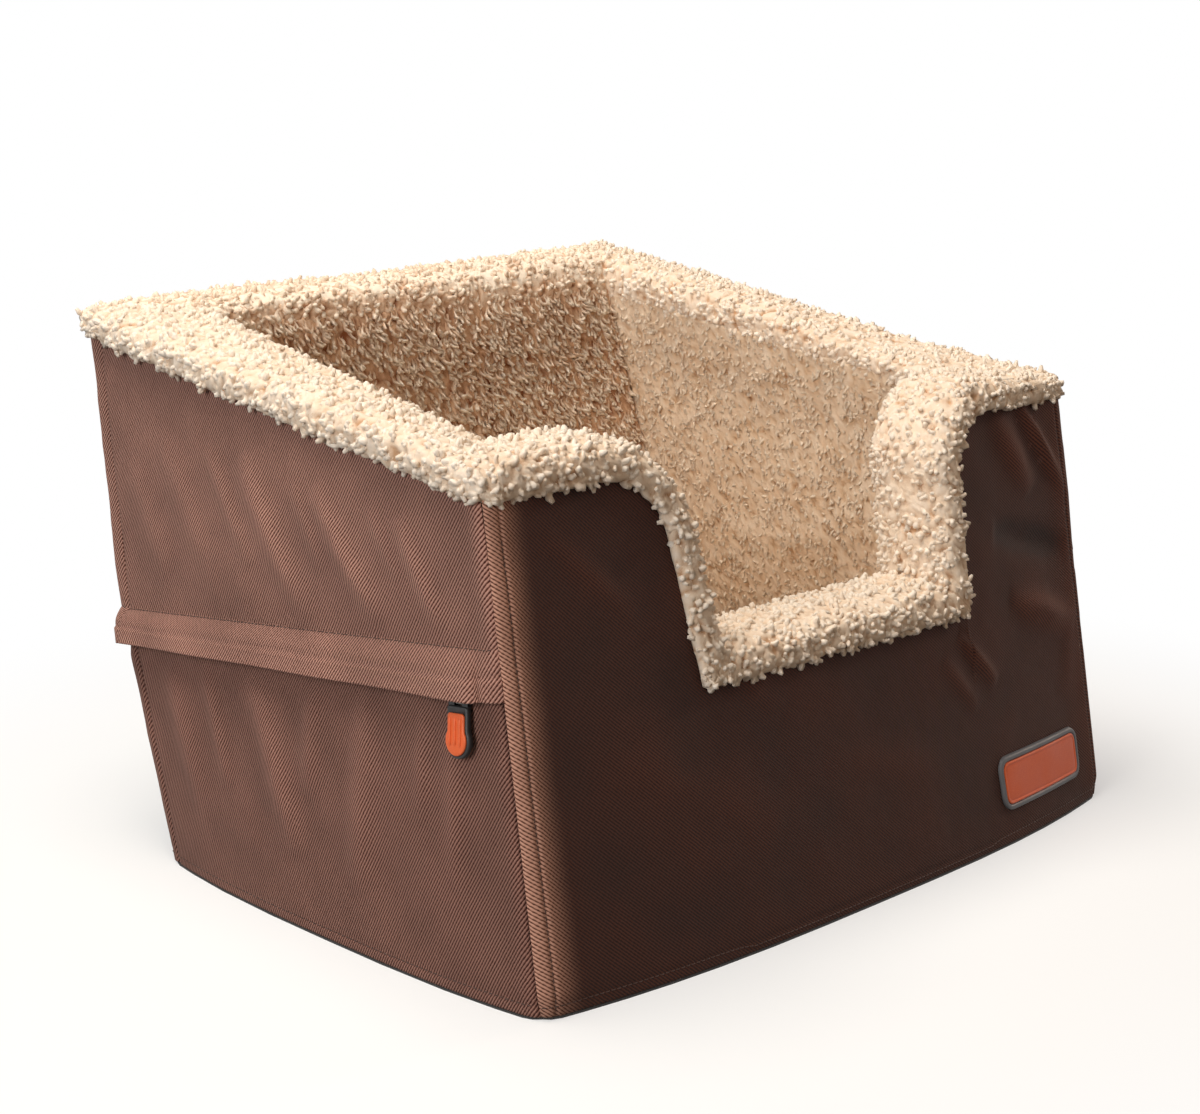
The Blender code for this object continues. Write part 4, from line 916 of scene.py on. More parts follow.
# The cuff's visible section as depth into the wall and height over the rim, in metres: down both legs and over
# a superellipse, evenly spaced and smoothed
def cuffOutline():
    angle = np.linspace(0, np.pi, 61)
    core, power = bucket["coreDepth"] / mm, 2 / cuff["power"]
    half = (core + cuff["innerProud"] + cuff["proud"]) / 2
    middle = half - cuff["proud"]
    reach = np.sign(-np.cos(angle)) * np.abs(np.cos(angle)) ** power
    crown = np.stack([middle + half * reach, cuff["rise"] * np.sin(angle) ** power], axis=1)
    legs = np.array([(0.4, 1), (0.82, 0.88), (1, 0.5)])
    outer = np.stack([-cuff["proud"] * legs[:, 0], -cuff["drop"] * legs[:, 1]], axis=1)
    inner = np.stack([core + cuff["innerProud"] * legs[:, 0], -cuff["innerDrop"] * legs[:, 1]], axis=1)
    first, last = (-cuff["gap"], -cuff["drop"] * 0.88), (core - cuff["tuck"], -cuff["innerDrop"])
    line = np.concatenate([[first], outer, crown, inner[::-1], [last]])
    count = int(runLength(line)[-1] / cuff["step"])
    for _ in range(6):
        length = runLength(line)
        line = readBetween(np.linspace(0, length[-1], count), length, line)
        line[1:-1] = line[1:-1] * 0.5 + (line[:-2] + line[2:]) * 0.25
    return line * mm


# A fleece cuff from its grid of stations by section: the pile stands off it by clumps and curls, its outer edge
# hangs unevenly, and its hidden side is a flat strip over the core
def cuffPiece(part, pointOf, stations, material=curlyFleece, paler=0.0):
    depth, height = cuffOutline().T
    stations = stations[:, None]
    grid = pointOf(stations, depth[None], height[None])
    columns = grid.shape[1]
    centre = pointOf(stations, 0 * depth[None] + bucket["coreDepth"] / 2, -5 * mm)
    normals = gridNormals(grid, grid - centre)
    pile = pileHeight(grid, cuff, 41)
    fromStart = np.arange(columns)
    room = np.clip(np.minimum(fromStart, fromStart[::-1]) / 5, 0.12, 1)[None]
    slow = softNoise(grid, cuff["unevenSize"], 47) - 0.5
    lift = (cuff["pile"] * mm * (pile - 0.45) + cuff["unevenness"] * mm * slow) * room
    points = grid + normals * lift[..., None]
    ragged = clamp(1 - fromStart / 9)[None] * (softNoise(grid, cuff["raggedSize"], 49) - 0.6)
    points[..., 2] += cuff["raggedEdge"] * mm * 2 * ragged
    strip = np.array([bucket["coreDepth"] - cuff["tuck"] * mm, -cuff["gap"] * mm])[None]
    ring = np.concatenate([points, pointOf(stations, strip, cuff["hidden"] * mm)], axis=1)
    # The tone paints shade, darker in the pile's hollows. On the back cuff paler adds painted light to the crown,
    # which faces up to the lamps
    crown = paler * clamp(height / (5 * mm) + 0.4)
    tone = np.concatenate([np.clip(pile * 1.2 - 0.3 + crown, 0, 1.4), np.zeros((len(ring), 2))], axis=1)
    name = "fleece_cuff_" + part
    piece = newPiece(name, ring.reshape(-1, 3), *ringFaces(1, *ring.shape[:2]), material, "fleece",
                     replaced=("cuff_" + part,), tone=tone.ravel())
    locks = dict(cuffLocks, seed=cuffLocks["seed"] + len(name))
    pileLocks(name + "_locks", gridCells(points[:, 2:-2]), gridCells(normals[:, 2:-2]), locks, material)


cuffLocks = {"spacing": 4.0, "radius": 3.3, "turn": 1.7, "tilt": 1.2, "sunk": 1.9, "thickness": 4.4,
             "sides": 4, "sway": 0.8, "comb": (0.1, 0.1, -0.8), "scatter": 0.7, "seed": 5}


def sideCuffPoint(place, depth, height):
    return wallPoint(place, rimHeight(place) + crownHeight(place, height), depth)


# The right front cuff: up the post, round the shoulder by a quarter circle and along the top to the corner.
# The stations run 0 to 1 up the post, 1 to 2 round the shoulder and 2 to 3 along the top.
def postPoint(station, depth, height, cornerShare=crownShares["shares"][1]):
    station, depth, height = np.broadcast_arrays(station, depth, height)
    flat = 1 + (cornerShare - 1) * clamp(station - 2)
    height = np.where(height > 0, height * flat, height)
    radius = notch["radius"]
    centreX, centreZ = notch["halfHigh"] + radius, bucket["frontHeight"] - radius
    t = clamp(station)
    foot = notch["floor"] + height
    postX = notch["halfLow"] + (notch["halfHigh"] - notch["halfLow"]) * t - height
    postZ = foot + (centreZ - foot) * t
    angle = clamp(station - 1) * math.pi / 2
    arcX = centreX - (radius + height) * np.cos(angle)
    arcZ = centreZ + (radius + height) * np.sin(angle)
    end = bucket["width"] / 2 - bucket["frontNarrowing"]
    t = clamp(station - 2)
    topX = centreX + (end - depth - centreX) * t
    topZ = bucket["frontHeight"] + height
    x = np.where(station < 1, postX, np.where(station < 2, arcX, topX))
    z = np.where(station < 1, postZ, np.where(station < 2, arcZ, topZ))
    return frontPoint(x, z, depth)


def leftPostPoint(station, depth, height):
    return postPoint(station, depth, height, 1) * np.array([-1, 1, 1])


def sillPoint(station, depth, height):
    return frontPoint(station * (notch["halfLow"] - height), notch["floor"] + height, depth)


for side in (left, back, right):
    count = int(cuff["backRun" if side == back else "sideRun"] / (cuff["step"] * mm))
    stations = side + np.linspace(-cuff["pastCorner"], 1 + cuff["pastCorner"], count)
    # The back cuff shares the back's fleece, and its crown is painted paler
    cuffPiece(sideNames[side], sideCuffPoint, stations,
              *((longFleece, 0.5) if side == back else ()))
postStations = np.concatenate([np.linspace(0.002, 0.99, 56), np.linspace(1, 2, 70), np.linspace(2.02, 2.996, 62)])
cuffPiece("front_right", postPoint, postStations)
cuffPiece("front_left", leftPostPoint, postStations)
cuffPiece("sill", sillPoint, np.linspace(-0.998, 0.998, 160))
print("cuffs made")

lining = {"step": 2.2, "pile": 2.4, "clump": 4.6, "curl": 2.4, "swell": 4.6, "swellReach": 60, "unevenness": 1.4,
          "unevenSize": 0.02, "coarse": 12, "even": 0.25, "sideRun": 0.30, "backRun": 0.46, "tuck": 4}
# Locks of each wall's lining: long and wavy at the back, and finer where the others were brushed
liningLocks = {
    back: {"spacing": 3.8, "radius": 6.0, "turn": 1.1, "tilt": 0.5, "sunk": 0.7, "thickness": 3.4,
           "sides": 3, "sway": 0.9, "comb": (0.1, 0.0, -1.0), "scatter": 0.3, "seed": 62,
           "bare": (14, 148, 202)},
    right: {"spacing": 3.4, "radius": 5.0, "turn": 0.9, "tilt": 0.9, "sunk": 1.3, "thickness": 2.9,
            "sides": 3, "tips": 1.1, "sway": 0.6, "comb": (0.0, -0.2, -1.0), "scatter": 0.5, "seed": 61},
}
liningLocks[left] = dict(liningLocks[right], comb=(0.0, 0.2, -1.0), seed=63)
liningLocks[front] = dict(liningLocks[right], spacing=3.7, seed=60)


# The fleece lining of a wall, on its inner face: longer pile, combed down
def liningPiece(side):
    count = int(lining["backRun" if side in (front, back) else "sideRun"] / (lining["step"] * mm))
    places = (side + np.linspace(0.002, 0.998, count))[None]
    under = (cuff["innerDrop"] - lining["tuck"]) * mm
    top = rimHeight(places) - under
    if side == front:
        top = notchTop(wallPoint(places, 0.2, bucket["coreDepth"])[..., 0], top, under)
    v = np.linspace(0, 1, int((top.max() - bucket["liningStart"]) / (lining["step"] * mm)))[:, None]
    heights = bucket["liningStart"] + (top - bucket["liningStart"]) * v
    grid = wallPoint(places, heights, bucket["coreDepth"])
    normals = gridNormals(grid, seatCentre - grid)
    pile = pileHeight(grid, lining, 71, stretch=(1, 1, 0.6))
    rise = clamp(1 - (top - heights) / (lining["swellReach"] * mm))
    lift = lining["swell"] * mm * rise * rise * (3 - 2 * rise) + lining["pile"] * mm * (pile - 0.4)
    uneven = lining["unevenness"] * mm * (softNoise(grid, lining["unevenSize"], 73) - 0.5)
    points = grid + normals * (lift + uneven)[..., None]
    picks = [pickLines(count, lining["coarse"]) for count in heights.shape]
    behind = wallPoint(places, heights, bucket["liningDepth"])[np.ix_(*picks)]
    # The tone paints shade, darker in the pile's hollows; even lifts it on the brushed walls
    even, material = (0.0, longFleece) if side == back else (lining["even"], softFleece)
    tone = np.concatenate([clamp(pile * 1.1 - 0.35 + even).ravel(), np.zeros(behind[..., 0].size)])
    name = "fleece_lining_" + sideNames[side]
    piece = shellPiece(name, points, behind, material, "fleece", picks, replaced=(f"{sideNames[side]}_lining",),
                       tone=tone)
    pileLocks(name + "_locks", gridCells(points), gridCells(normals), liningLocks[side], material)


for side in (front, right, back, left):
    liningPiece(side)
print("linings made")

# Threads of the stitch rows: each stitch is a short bent tube that dips into the cloth at both ends
thread = {"length": 2.7, "gap": 0.9, "radius": 0.3, "rise": 0.28, "sunk": 0.35, "start": 1, "end": 4, "sides": 5}


def sewStitches(name, rows, material, slotName):
    spines, ups = [], []
    for points, normals in rows:
        length = runLength(points)
        starts = np.arange(thread["start"] * mm, length[-1] - thread["end"] * mm,
                           (thread["length"] + thread["gap"]) * mm)
        spots = starts[:, None] + np.array([0, 0.2, 0.5, 0.8, 1]) * thread["length"] * mm
        spine, up = readBetween(spots, length, points), readBetween(spots, length, normals)
        height = np.array([-thread["sunk"], 0.7 * thread["rise"], thread["rise"], 0.7 * thread["rise"],
                           -thread["sunk"]])
        spines.append(spine + up * height[:, None] * mm)
        ups.append(up[:, 2])
    spines, ups = np.concatenate(spines), np.concatenate(ups)
    radii = np.full(spines.shape[:2], thread["radius"] * mm)
    newPiece(name, *tubeMesh(spines, radii, ups, thread["sides"]), material, slotName)


sewStitches("topstitches", stitches, brownThread, "twill")
print("topstitches made")

# Seat pad: its blank is the solid's own mesh, a little smaller, which a cloth simulation then fills with air
pad = {
    "voxel": 6.0, "pressure": 3.5, "frames": 18, "mostMove": 8.0, "shrink": (0.985, 0.985, 0.94), "quality": 4,
    "pile": 2.6, "clump": 5.4, "curl": 2.6, "seamHeight": 14.0, "seamDepth": 2.2, "seamWidth": 3.0,
    "locks": {"spacing": 4.2, "radius": 2.6, "turn": 1.8, "tilt": 1.1, "sunk": 1.0, "thickness": 3.9,
              "sides": 3, "sway": 0.5, "comb": (0.2, 0.3, -0.2), "scatter": 0.9, "seed": 77},
}


# Points, normals, loops and counts of an object's mesh with its modifiers
def meshArrays(source):
    shown = source.evaluated_get(bpy.context.evaluated_depsgraph_get())
    mesh = shown.to_mesh()
    points, normals = (taken(mesh.vertices, key, width=3) for key in ("co", "normal"))
    loops, counts = taken(mesh.loops, "vertex_index", np.int32), taken(mesh.polygons, "loop_total", np.int32)
    shown.to_mesh_clear()
    return points, normals, loops, counts


def scratchObject(points, loops, counts):
    mesh = bpy.data.meshes.new("pad_blank")
    faces = [loops[start:start + count].tolist() for start, count in zip(faceStarts(counts), counts)]
    mesh.from_pydata(points.tolist(), [], faces)
    return addObject("pad_blank", mesh)


def makePad():
    points, _, loops, counts = meshArrays(bpy.data.objects["seat_pad"])
    middle = (points.max(axis=0) + points.min(axis=0)) / 2
    points = middle + (points - middle) * np.array(pad["shrink"])
    blank = scratchObject(points, loops, counts)
    remesh = blank.modifiers.new("remesh", "REMESH")
    remesh.mode, remesh.voxel_size = "VOXEL", pad["voxel"] * mm
    start, _, loops, counts = meshArrays(blank)
    bpy.data.objects.remove(blank)
    blown = start
    blank = scratchObject(start, loops, counts)
    cloth = blank.modifiers.new("cloth", "CLOTH")
    cloth.settings.quality = pad["quality"]
    cloth.settings.use_pressure, cloth.settings.uniform_pressure_force = True, pad["pressure"]
    cloth.settings.effector_weights.gravity = 0
    cloth.point_cache.frame_end = pad["frames"]
    for number in range(1, pad["frames"] + 1):
        bpy.context.scene.frame_set(number)
    blown = meshArrays(blank)[0]
    bpy.context.scene.frame_set(1)
    bpy.data.objects.remove(blank)
    move = blown - start
    size = np.linalg.norm(move, axis=-1, keepdims=True)
    blown = start + move * np.minimum(1, pad["mostMove"] * mm / np.maximum(size, 1e-9))
    blown[:, 2] = np.maximum(blown[:, 2], bucket["liningStart"])
    blank = scratchObject(blown, loops, counts)
    smooth = blank.modifiers.new("smooth", "SUBSURF")
    smooth.levels = smooth.render_levels = 1
    points, normals, loops, counts = meshArrays(blank)
    bpy.data.objects.remove(blank)
    pile = pileHeight(points, pad, 75)
    onTop = clamp((normals[:, 2] + 0.8) / 0.3)
    overSeam = points[:, 2] - bucket["liningStart"] - pad["seamHeight"] * mm
    seam = groove(overSeam, pad["seamDepth"], pad["seamWidth"]) * clamp(1 - np.abs(normals[:, 2]) * 2)
    points = points + normals * ((pad["pile"] * mm * (pile - 0.5) + seam) * onTop)[:, None]
    # Its tone paints shade, darker in the pile's hollows
    piece = newPiece("fleece_seat_pad", points, loops, counts, curlyFleece, "fleece", replaced=("seat_pad",),
                     tone=clamp(pile * 1.15 - 0.1))
    faces = loops.reshape(-1, 4)
    faces = faces[normals[faces].mean(axis=1)[:, 2] > -0.3]
    pileLocks("fleece_seat_pad_locks", points[faces], normals[faces], pad["locks"], curlyFleece)


makePad()
print("seat pad made")


# Places round the back at an even distance from each other, from the right side's front end to the left side's
def evenPlaces(rightEnd, leftEnd, step):
    places = np.linspace(right + rightEnd / bucket["depth"], left + 1 - leftEnd / bucket["depth"], 3000)
    line = wallPoint(places, zipHeight(places), zipLine["offset"])
    length = runLength(line)
    return np.interp(np.arange(0, length[-1], step), length, places)


upward = np.array([[0.0, 0.0, 1.0]])
# Coil teeth: each is a loop of nylon from the tape's edge over the front to the row's inner side and back behind
coil = {"pitch": 1.5, "radius": 0.42, "rightEnd": 16.0, "leftEnd": 22.6, "lean": 0.35,
        "inside": 0.15, "shoulder": 0.4, "behind": 0.1, "sides": 4}


def makeCoil(part, sign):
    places = evenPlaces(coil["rightEnd"] * mm, coil["leftEnd"] * mm, coil["pitch"] * mm)
    inner = zipLine["rowGap"] / 2 + (coil["radius"] + coil["inside"]) * mm
    outer = zipLine["rowGap"] / 2 + zipLine["rowWidth"]
    half = zipLine["thickness"] / 2 - (coil["radius"] + coil["behind"]) * mm
    shoulder = inner + coil["shoulder"] * mm
    rise = np.array([outer, shoulder, inner, shoulder, outer]) * sign
    depth = np.array([-1, -1, 0, 1, 1]) * half + zipLine["offset"]
    slant = np.linspace(-1, 1, 5) * coil["lean"] * mm / bucket["width"]
    around = places[:, None] + slant[None]
    spines = wallPoint(around, zipHeight(around) + rise, depth)
    radii = np.full(spines.shape[:2], coil["radius"] * mm)
    ups = np.tile(upward, (len(places), 1))
    newPiece(f"coil_teeth_{part}", *tubeMesh(spines, radii, ups, coil["sides"]), nylonCoil, "nickel",
             replaced=(f"zip_teeth_{part}",))


makeCoil("upper", 1)
makeCoil("lower", -1)
print("zip teeth made")


def jointOf(name):
    joint = next(joint for joint in frame["joints"] if joint["name"] == name)
    return np.array(joint["axis"]), np.array(joint["pos_m"])


# The frame of the pull: x along its hinge, z out of its inlay's widest face and y between them
def pullFrame():
    axis, origin = jointOf("grip_swing")
    face = max(bpy.data.objects["zip_grip_inlay"].data.polygons, key=lambda face: face.area)
    out = np.array(face.normal) * np.sign(-face.normal.x)
    return np.stack([-axis, np.cross(out, -axis), out]), origin


# A moulded piece: its outline is drawn in and raised layer by layer, and the first and last layers are closed
def mouldedShape(outline, layers):
    edge = np.roll(outline, -1, axis=0) - np.roll(outline, 1, axis=0)
    inward = np.stack([-edge[:, 1], edge[:, 0]], axis=1) / np.linalg.norm(edge, axis=1)[:, None]
    rings = [np.concatenate([outline + inward * inset * mm, np.full((len(outline), 1), height * mm)], axis=1)
             for inset, height in layers]
    return np.concatenate(rings), *ringFaces(1, len(layers), len(outline))


# Several shapes as one
def joined(*shapes):
    points, loops, counts, start = [], [], [], 0
    for shape in shapes:
        points.append(shape[0])
        loops.append(shape[1] + start)
        counts.append(shape[2])
        start += len(shape[0])
    return np.concatenate(points), np.concatenate(loops), np.concatenate(counts)


pull = {
    "width": 16.0, "length": 28.5, "endRadius": 9.5, "margin": 1.6, "drop": 5.0, "shoulder": 2.0,
    "body": ((1.0, -1.5), (0.3, -1.25), (0.0, -0.7), (0.0, 1.3), (0.25, 1.8), (0.8, 2.1), (1.3, 2.1), (1.5, 1.9)),
    "inlay": ((0.0, 2.0), (0.0, 2.7), (0.2, 2.95), (0.6, 3.1), (1.1, 3.15)),
    "ribs": (-0.62, 0.0, 0.62), "ribRadius": 0.9, "ribStart": 7.0, "ribEnd": 22.0, "ribLevel": 3.05,
    "ribSpots": 14, "barrel": 1.5, "fork": 5.4, "neck": 2.6,
}


# Outline of the pull: straight sides with round shoulders that swell into a round end, drawn in by a margin
def pullOutline(margin, top):
    radius, half = (pull["endRadius"] - margin) * mm, (pull["width"] / 2 - margin) * mm
    centre = (pull["endRadius"] - pull["length"]) * mm
    start, shoulder = math.acos(half / radius), pull["shoulder"] * mm
    angle = np.linspace(math.pi - start, 2 * math.pi + start, 49)
    bottom = np.stack([radius * np.cos(angle), centre + radius * np.sin(angle)], axis=1)
    turn = np.linspace(0, math.pi / 2, 7)
    arc = np.stack([np.cos(turn), np.sin(turn)], axis=1)
    corner = np.array([half - shoulder, top * mm - shoulder]) + shoulder * arc
    return np.concatenate([bottom, corner, corner[::-1] * np.array([-1, 1])])


def makePull():
    axes, origin = pullFrame()

    def place(shape):
        return shape[0] @ axes + origin, shape[1], shape[2]

    body = mouldedShape(pullOutline(0, -1.2), pull["body"])
    eyes = []
    for sign in (-1, 1):
        ends = np.array([pull["fork"] / 2 + 0.3, pull["width"] / 2 - 0.4]) * sign * mm
        spine = np.stack([np.linspace(ends[0], ends[1], 4), np.zeros(4), np.zeros(4)], axis=1)[None]
        radii = pull["barrel"] * mm * np.array([[0.82, 1, 1, 0.82]])
        eyes.append(tubeMesh(spine, radii, upward, 20))
        low = -pull["neck"] * mm
        neck = np.array([[ends[0], low], [ends[1], low], [ends[1], 0], [ends[0], 0]])
        neck = neck if sign > 0 else neck[::-1]
        eyes.append(mouldedShape(neck, ((0.1, -1.3), (0, -1.1), (0, 1.1), (0.1, 1.3))))
    newPiece("pull_body", *place(joined(body, *eyes)), blackRubber, "black_rubber", body="grip",
             replaced=("zip_grip",), sharp=50)
    ribs, spots = [], pull["ribSpots"]
    for share in pull["ribs"]:
        x = share * (pull["width"] / 2 - pull["margin"]) * mm
        y = -np.linspace(pull["ribStart"], pull["ribEnd"], spots) * mm
        spine = np.stack([x + 0 * y, y, np.full(spots, pull["ribLevel"] * mm)], axis=1)[None]
        taper = np.sqrt(np.clip(1 - np.linspace(-1, 1, spots) ** 8, 0.05, 1))
        radii = pull["ribRadius"] * mm * taper[None]
        ribs.append(tubeMesh(spine, radii, upward, 12))
    inlay = mouldedShape(pullOutline(pull["margin"], -pull["drop"]), pull["inlay"])
    newPiece("pull_inlay", *place(joined(inlay, *ribs)), orangeRubber, "orange_rubber", body="grip",
             replaced=("zip_grip_inlay",), sharp=50)


makePull()

# Badge: a soft plate with a raised rim round a lower field, and a plain face in the field
badge = {
    "width": 97.0, "height": 33.0, "radius": 9.0, "fromSide": 77.4, "z": 37.0, "fieldMargin": 3.7, "sunk": 0.3,
    "rim": ((0, 0.2, 0.6, 1.2, 2.4, 3.0, 3.3, 3.6), (0.4, 1.5, 2.2, 2.5, 2.5, 2.2, 1.7, 1.5)),
    "face": ((0, 0.15, 0.4, 0.9, 1.5, 1.8, 2.1, 2.5, 3.0), (1.5, 2.1, 2.4, 2.5, 2.5, 2.2, 2.15, 2.2, 2.3)),
}


# A rounded plate on the front wall. The relief gives heights over the cloth by the distance from the edge; near
# a corner each square ring about the corner's centre becomes a circle.
def badgePlate(name, margin, relief, material, slotName, replaced):
    width, height, radius = (badge[key] - 2 * margin for key in ("width", "height", "radius"))
    radius += margin
    steps = np.array(relief[0])
    across = np.concatenate([steps, np.linspace(steps[-1], width / 2, 18)[1:]])
    up = np.concatenate([steps, np.linspace(steps[-1], height / 2, 8)[1:]])
    x = np.concatenate([across - width / 2, (width / 2 - across[:-1])[::-1]])[None]
    z = np.concatenate([up - height / 2, (height / 2 - up[:-1])[::-1]])[:, None]
    fromEdge = np.minimum(width / 2 - np.abs(x), height / 2 - np.abs(z))
    level = np.interp(fromEdge, relief[0], relief[1])
    a, b = np.abs(x) - (width / 2 - radius) + 0 * z, np.abs(z) - (height / 2 - radius) + 0 * x
    shrink = np.where((a > 0) & (b > 0), np.maximum(a, b) / np.maximum(np.hypot(a, b), 1e-9), 1)
    x = np.sign(x) * (width / 2 - radius + np.where((a > 0) & (b > 0), a * shrink, a))
    z = np.sign(z) * (height / 2 - radius + np.where((a > 0) & (b > 0), b * shrink, b))
    placeX = bucket["width"] / 2 - badge["fromSide"] * mm + x * mm
    placeZ = (badge["z"] + z) * mm
    grid = frontPoint(placeX, placeZ, -level * mm)
    behind = frontPoint(placeX, placeZ, -(relief[1][0] - badge["sunk"]) * mm)
    shellPiece(name, grid, behind, material, slotName, replaced=replaced, sharp=60)


badgePlate("badge_rim", 0, badge["rim"], greyRubber, "grey_rubber", ("badge_backing",))
badgePlate("badge_field", badge["fieldMargin"], badge["face"], orangeRubber, "orange_rubber", ("badge_face",))
print("pull and badge made")


# A strap along a spine: its section is flat with round edges, and its ribs' coordinates are in metres
def strapPiece(name, spine, normals, across, width, thickness, replaced):
    share = np.array([-1, -0.985, -0.95, -0.88, -0.6, -0.3, 0, 0.3, 0.6, 0.88, 0.95, 0.985, 1])
    rim = clamp((np.abs(share) - 0.9) / 0.1)
    half = np.sqrt(np.clip(1 - rim ** 2, 0.02, 1)) * thickness / 2
    middle = spine[:, None] + across[None, None] * share[None, :, None] * width / 2
    offset = normals[:, None] * half[None, :, None]
    along = runLength(spine)[:, None]
    uv = np.stack([0 * along + share * width / 2, along + 0 * share], axis=-1).reshape(-1, 2)
    shellPiece(name, middle + offset, middle - offset, webbingYarn, "webbing", replaced=replaced,
               uv=np.concatenate([uv, uv]))


# The lines of a sewn box with a cross in it, by shares of its half width and of its height
def boxLines(count):
    square = ((-1, 0), (1, 0), (1, 1), (-1, 1), (-1, 0), (1, 1), (1, 0), (-1, 1))
    t = np.linspace(0, 1, count)
    return [(x0 + (x1 - x0) * t, z0 + (z1 - z0) * t) for (x0, z0), (x1, z1) in zip(square, square[1:])]


beltLoop = {"width": 38.0, "thickness": 1.4, "x": 0.115, "low": 0.172, "high": 0.262, "stand": 10.5, "sewn": 11.0,
            "rise": 20.0, "offCloth": 2.6, "inset": 3, "short": 2, "fromEnd": 1}
acrossX = np.array([1.0, 0.0, 0.0])
loopStitches = []


# Webbing sewn down at both ends with a box of stitches, standing off the back between them
def makeBeltLoop(part, centreX):
    height = np.linspace(beltLoop["low"], beltLoop["high"], 90)
    place = back + 0.5 - centreX / (2 * halfWidth("back", height))
    fromEnd = np.minimum(height - beltLoop["low"], beltLoop["high"] - height)
    rise = clamp((fromEnd - beltLoop["sewn"] * mm) / (beltLoop["rise"] * mm))
    stand = beltLoop["stand"] * mm * np.sin(np.pi / 2 * rise) ** 1.4
    spine = wallPoint(place, height, -(stand + beltLoop["offCloth"] * mm))
    normals = unit(np.cross(acrossX, np.gradient(spine, axis=0)))
    normals *= np.sign(normals[:, 1].mean())
    strapPiece(f"webbing_loop_{part}", spine, normals, acrossX, beltLoop["width"] * mm, beltLoop["thickness"] * mm,
               (f"belt_loop_{part}",))
    top = beltLoop["thickness"] / 2 * mm
    inset = beltLoop["width"] / 2 * mm - beltLoop["inset"] * mm
    reach, edge = beltLoop["sewn"] * mm - beltLoop["short"] * mm, beltLoop["fromEnd"] * mm
    for low in (beltLoop["low"] + edge, beltLoop["high"] - edge - reach):
        for x, z in boxLines(12):
            spot, up = (readBetween(low + reach * z, height, table) for table in (spine, normals))
            loopStitches.append((spot + up * top + np.outer(inset * x, acrossX), up))


makeBeltLoop("left", -beltLoop["x"])
makeBeltLoop("right", beltLoop["x"])
# Tether inside the back: a folded webbing tab whose lower end holds a ring
tether = {"width": 18.0, "length": 30.0, "height": 0.164, "wire": 1.5, "thickness": 1.4, "halfWidth": 12.5,
          "neck": 0.35, "eye": 2.7, "lap": 1.6, "lapShare": 0.72, "boxLow": 10, "boxHeight": 10, "boxInset": 2.5}


def makeTether():
    _, origin = jointOf("tether_ring_swing")
    low, high = (wallPoint(back + 0.5, tether["height"] + rise, bucket["coreDepth"]) for rise in (0, 0.03))
    up = unit(high - low)
    out = np.cross(acrossX, up)
    eye, length = tether["eye"] * mm, tether["length"] * mm
    turn = np.linspace(0, math.pi, 22)
    y = np.concatenate([np.linspace(length, 2 * mm, 16), -eye * np.sin(turn), np.linspace(2 * mm, 6 * mm, 4),
                        np.linspace(8 * mm, length * tether["lapShare"], 10)])
    z = np.concatenate([np.full(16, -eye), -eye * np.cos(turn), np.linspace(eye, -0.2 * mm, 4),
                        np.full(10, -eye + tether["lap"] * mm)])
    spine = origin + y[:, None] * up + z[:, None] * out
    normals = unit(np.cross(np.gradient(spine, axis=0), acrossX))
    strapPiece("tether_tab", spine, normals, acrossX, tether["width"] * mm, tether["thickness"] * mm,
               ("tether_anchor",))
    face = -eye + (tether["lap"] + tether["thickness"] / 2) * mm
    inset = tether["width"] / 2 * mm - tether["boxInset"] * mm
    for x, y in boxLines(8):
        line = origin + np.outer((tether["boxLow"] + tether["boxHeight"] * y) * mm, up) + out * face
        loopStitches.append((line + np.outer(x * inset, acrossX), np.tile(out, (8, 1))))
    half = tether["halfWidth"] * mm
    angle = -np.linspace(0, math.pi, 33)
    ringX = np.concatenate([np.linspace(-half, half, 13)[1:-1], half * np.cos(angle)])
    ringY = np.concatenate([np.zeros(11), half * np.sin(angle) - tether["neck"] * half * clamp(
        np.sin(np.linspace(0, math.pi, 33)) * 6)])
    line = origin + np.outer(ringX, acrossX) + np.outer(ringY, up)
    for _ in range(3):
        line = line * 0.5 + (np.roll(line, 1, axis=0) + np.roll(line, -1, axis=0)) * 0.25
    side = np.cross(unit(np.roll(line, -1, axis=0) - np.roll(line, 1, axis=0)), out)
    angle = np.arange(12) * 2 * math.pi / 12
    rings = line[:, None] + tether["wire"] * mm * (
        side[:, None] * np.cos(angle)[:, None] + out * np.sin(angle)[:, None])
    index = np.arange(len(line) * 12).reshape(-1, 12)
    quads = ringQuads(np.concatenate([index, index[:1]]))
    newPiece("wire_ring", rings.reshape(-1, 3), quads.ravel(), np.full(len(quads), 4), blackNickel, "nickel",
             body="ring", replaced=("tether_ring",))


makeTether()
sewStitches("webbing_stitches", loopStitches, blackThread, "webbing")
print("webbing made")


# The solids that stay take the material of what they are
keptMaterials = {
    "board": fibreboard, "foam": seatFoam, "tape": tapeYarn, "nickel": blackNickel, "base_cloth": baseCloth,
}
for name in frame["nodes"]:
    node = bpy.data.objects[name]
    if not node.hide_render:
        for place in node.material_slots:
            place.material = keptMaterials[place.material.name.split(".")[0]]


view = {
    "place": (-0.9523, -0.9103, 0.4707), "forward": (0.6871, 0.6927, -0.2192), "right": (0.7100, -0.7042, 0.0),
    "lens": 65.42,
}


# The camera looks along the photograph's own line, with no roll
def makeCamera():
    data = bpy.data.cameras.new("camera")
    data.lens, data.sensor_width, data.clip_end = view["lens"], 36, 50
    camera = addObject("camera", data)
    forward, side = Vector(view["forward"]).normalized(), Vector(view["right"]).normalized()
    up = side.cross(forward)
    pose = Matrix((side, up, -forward)).transposed().to_4x4()
    pose.translation = Vector(view["place"])
    camera.matrix_world = pose
    bpy.context.scene.camera = camera


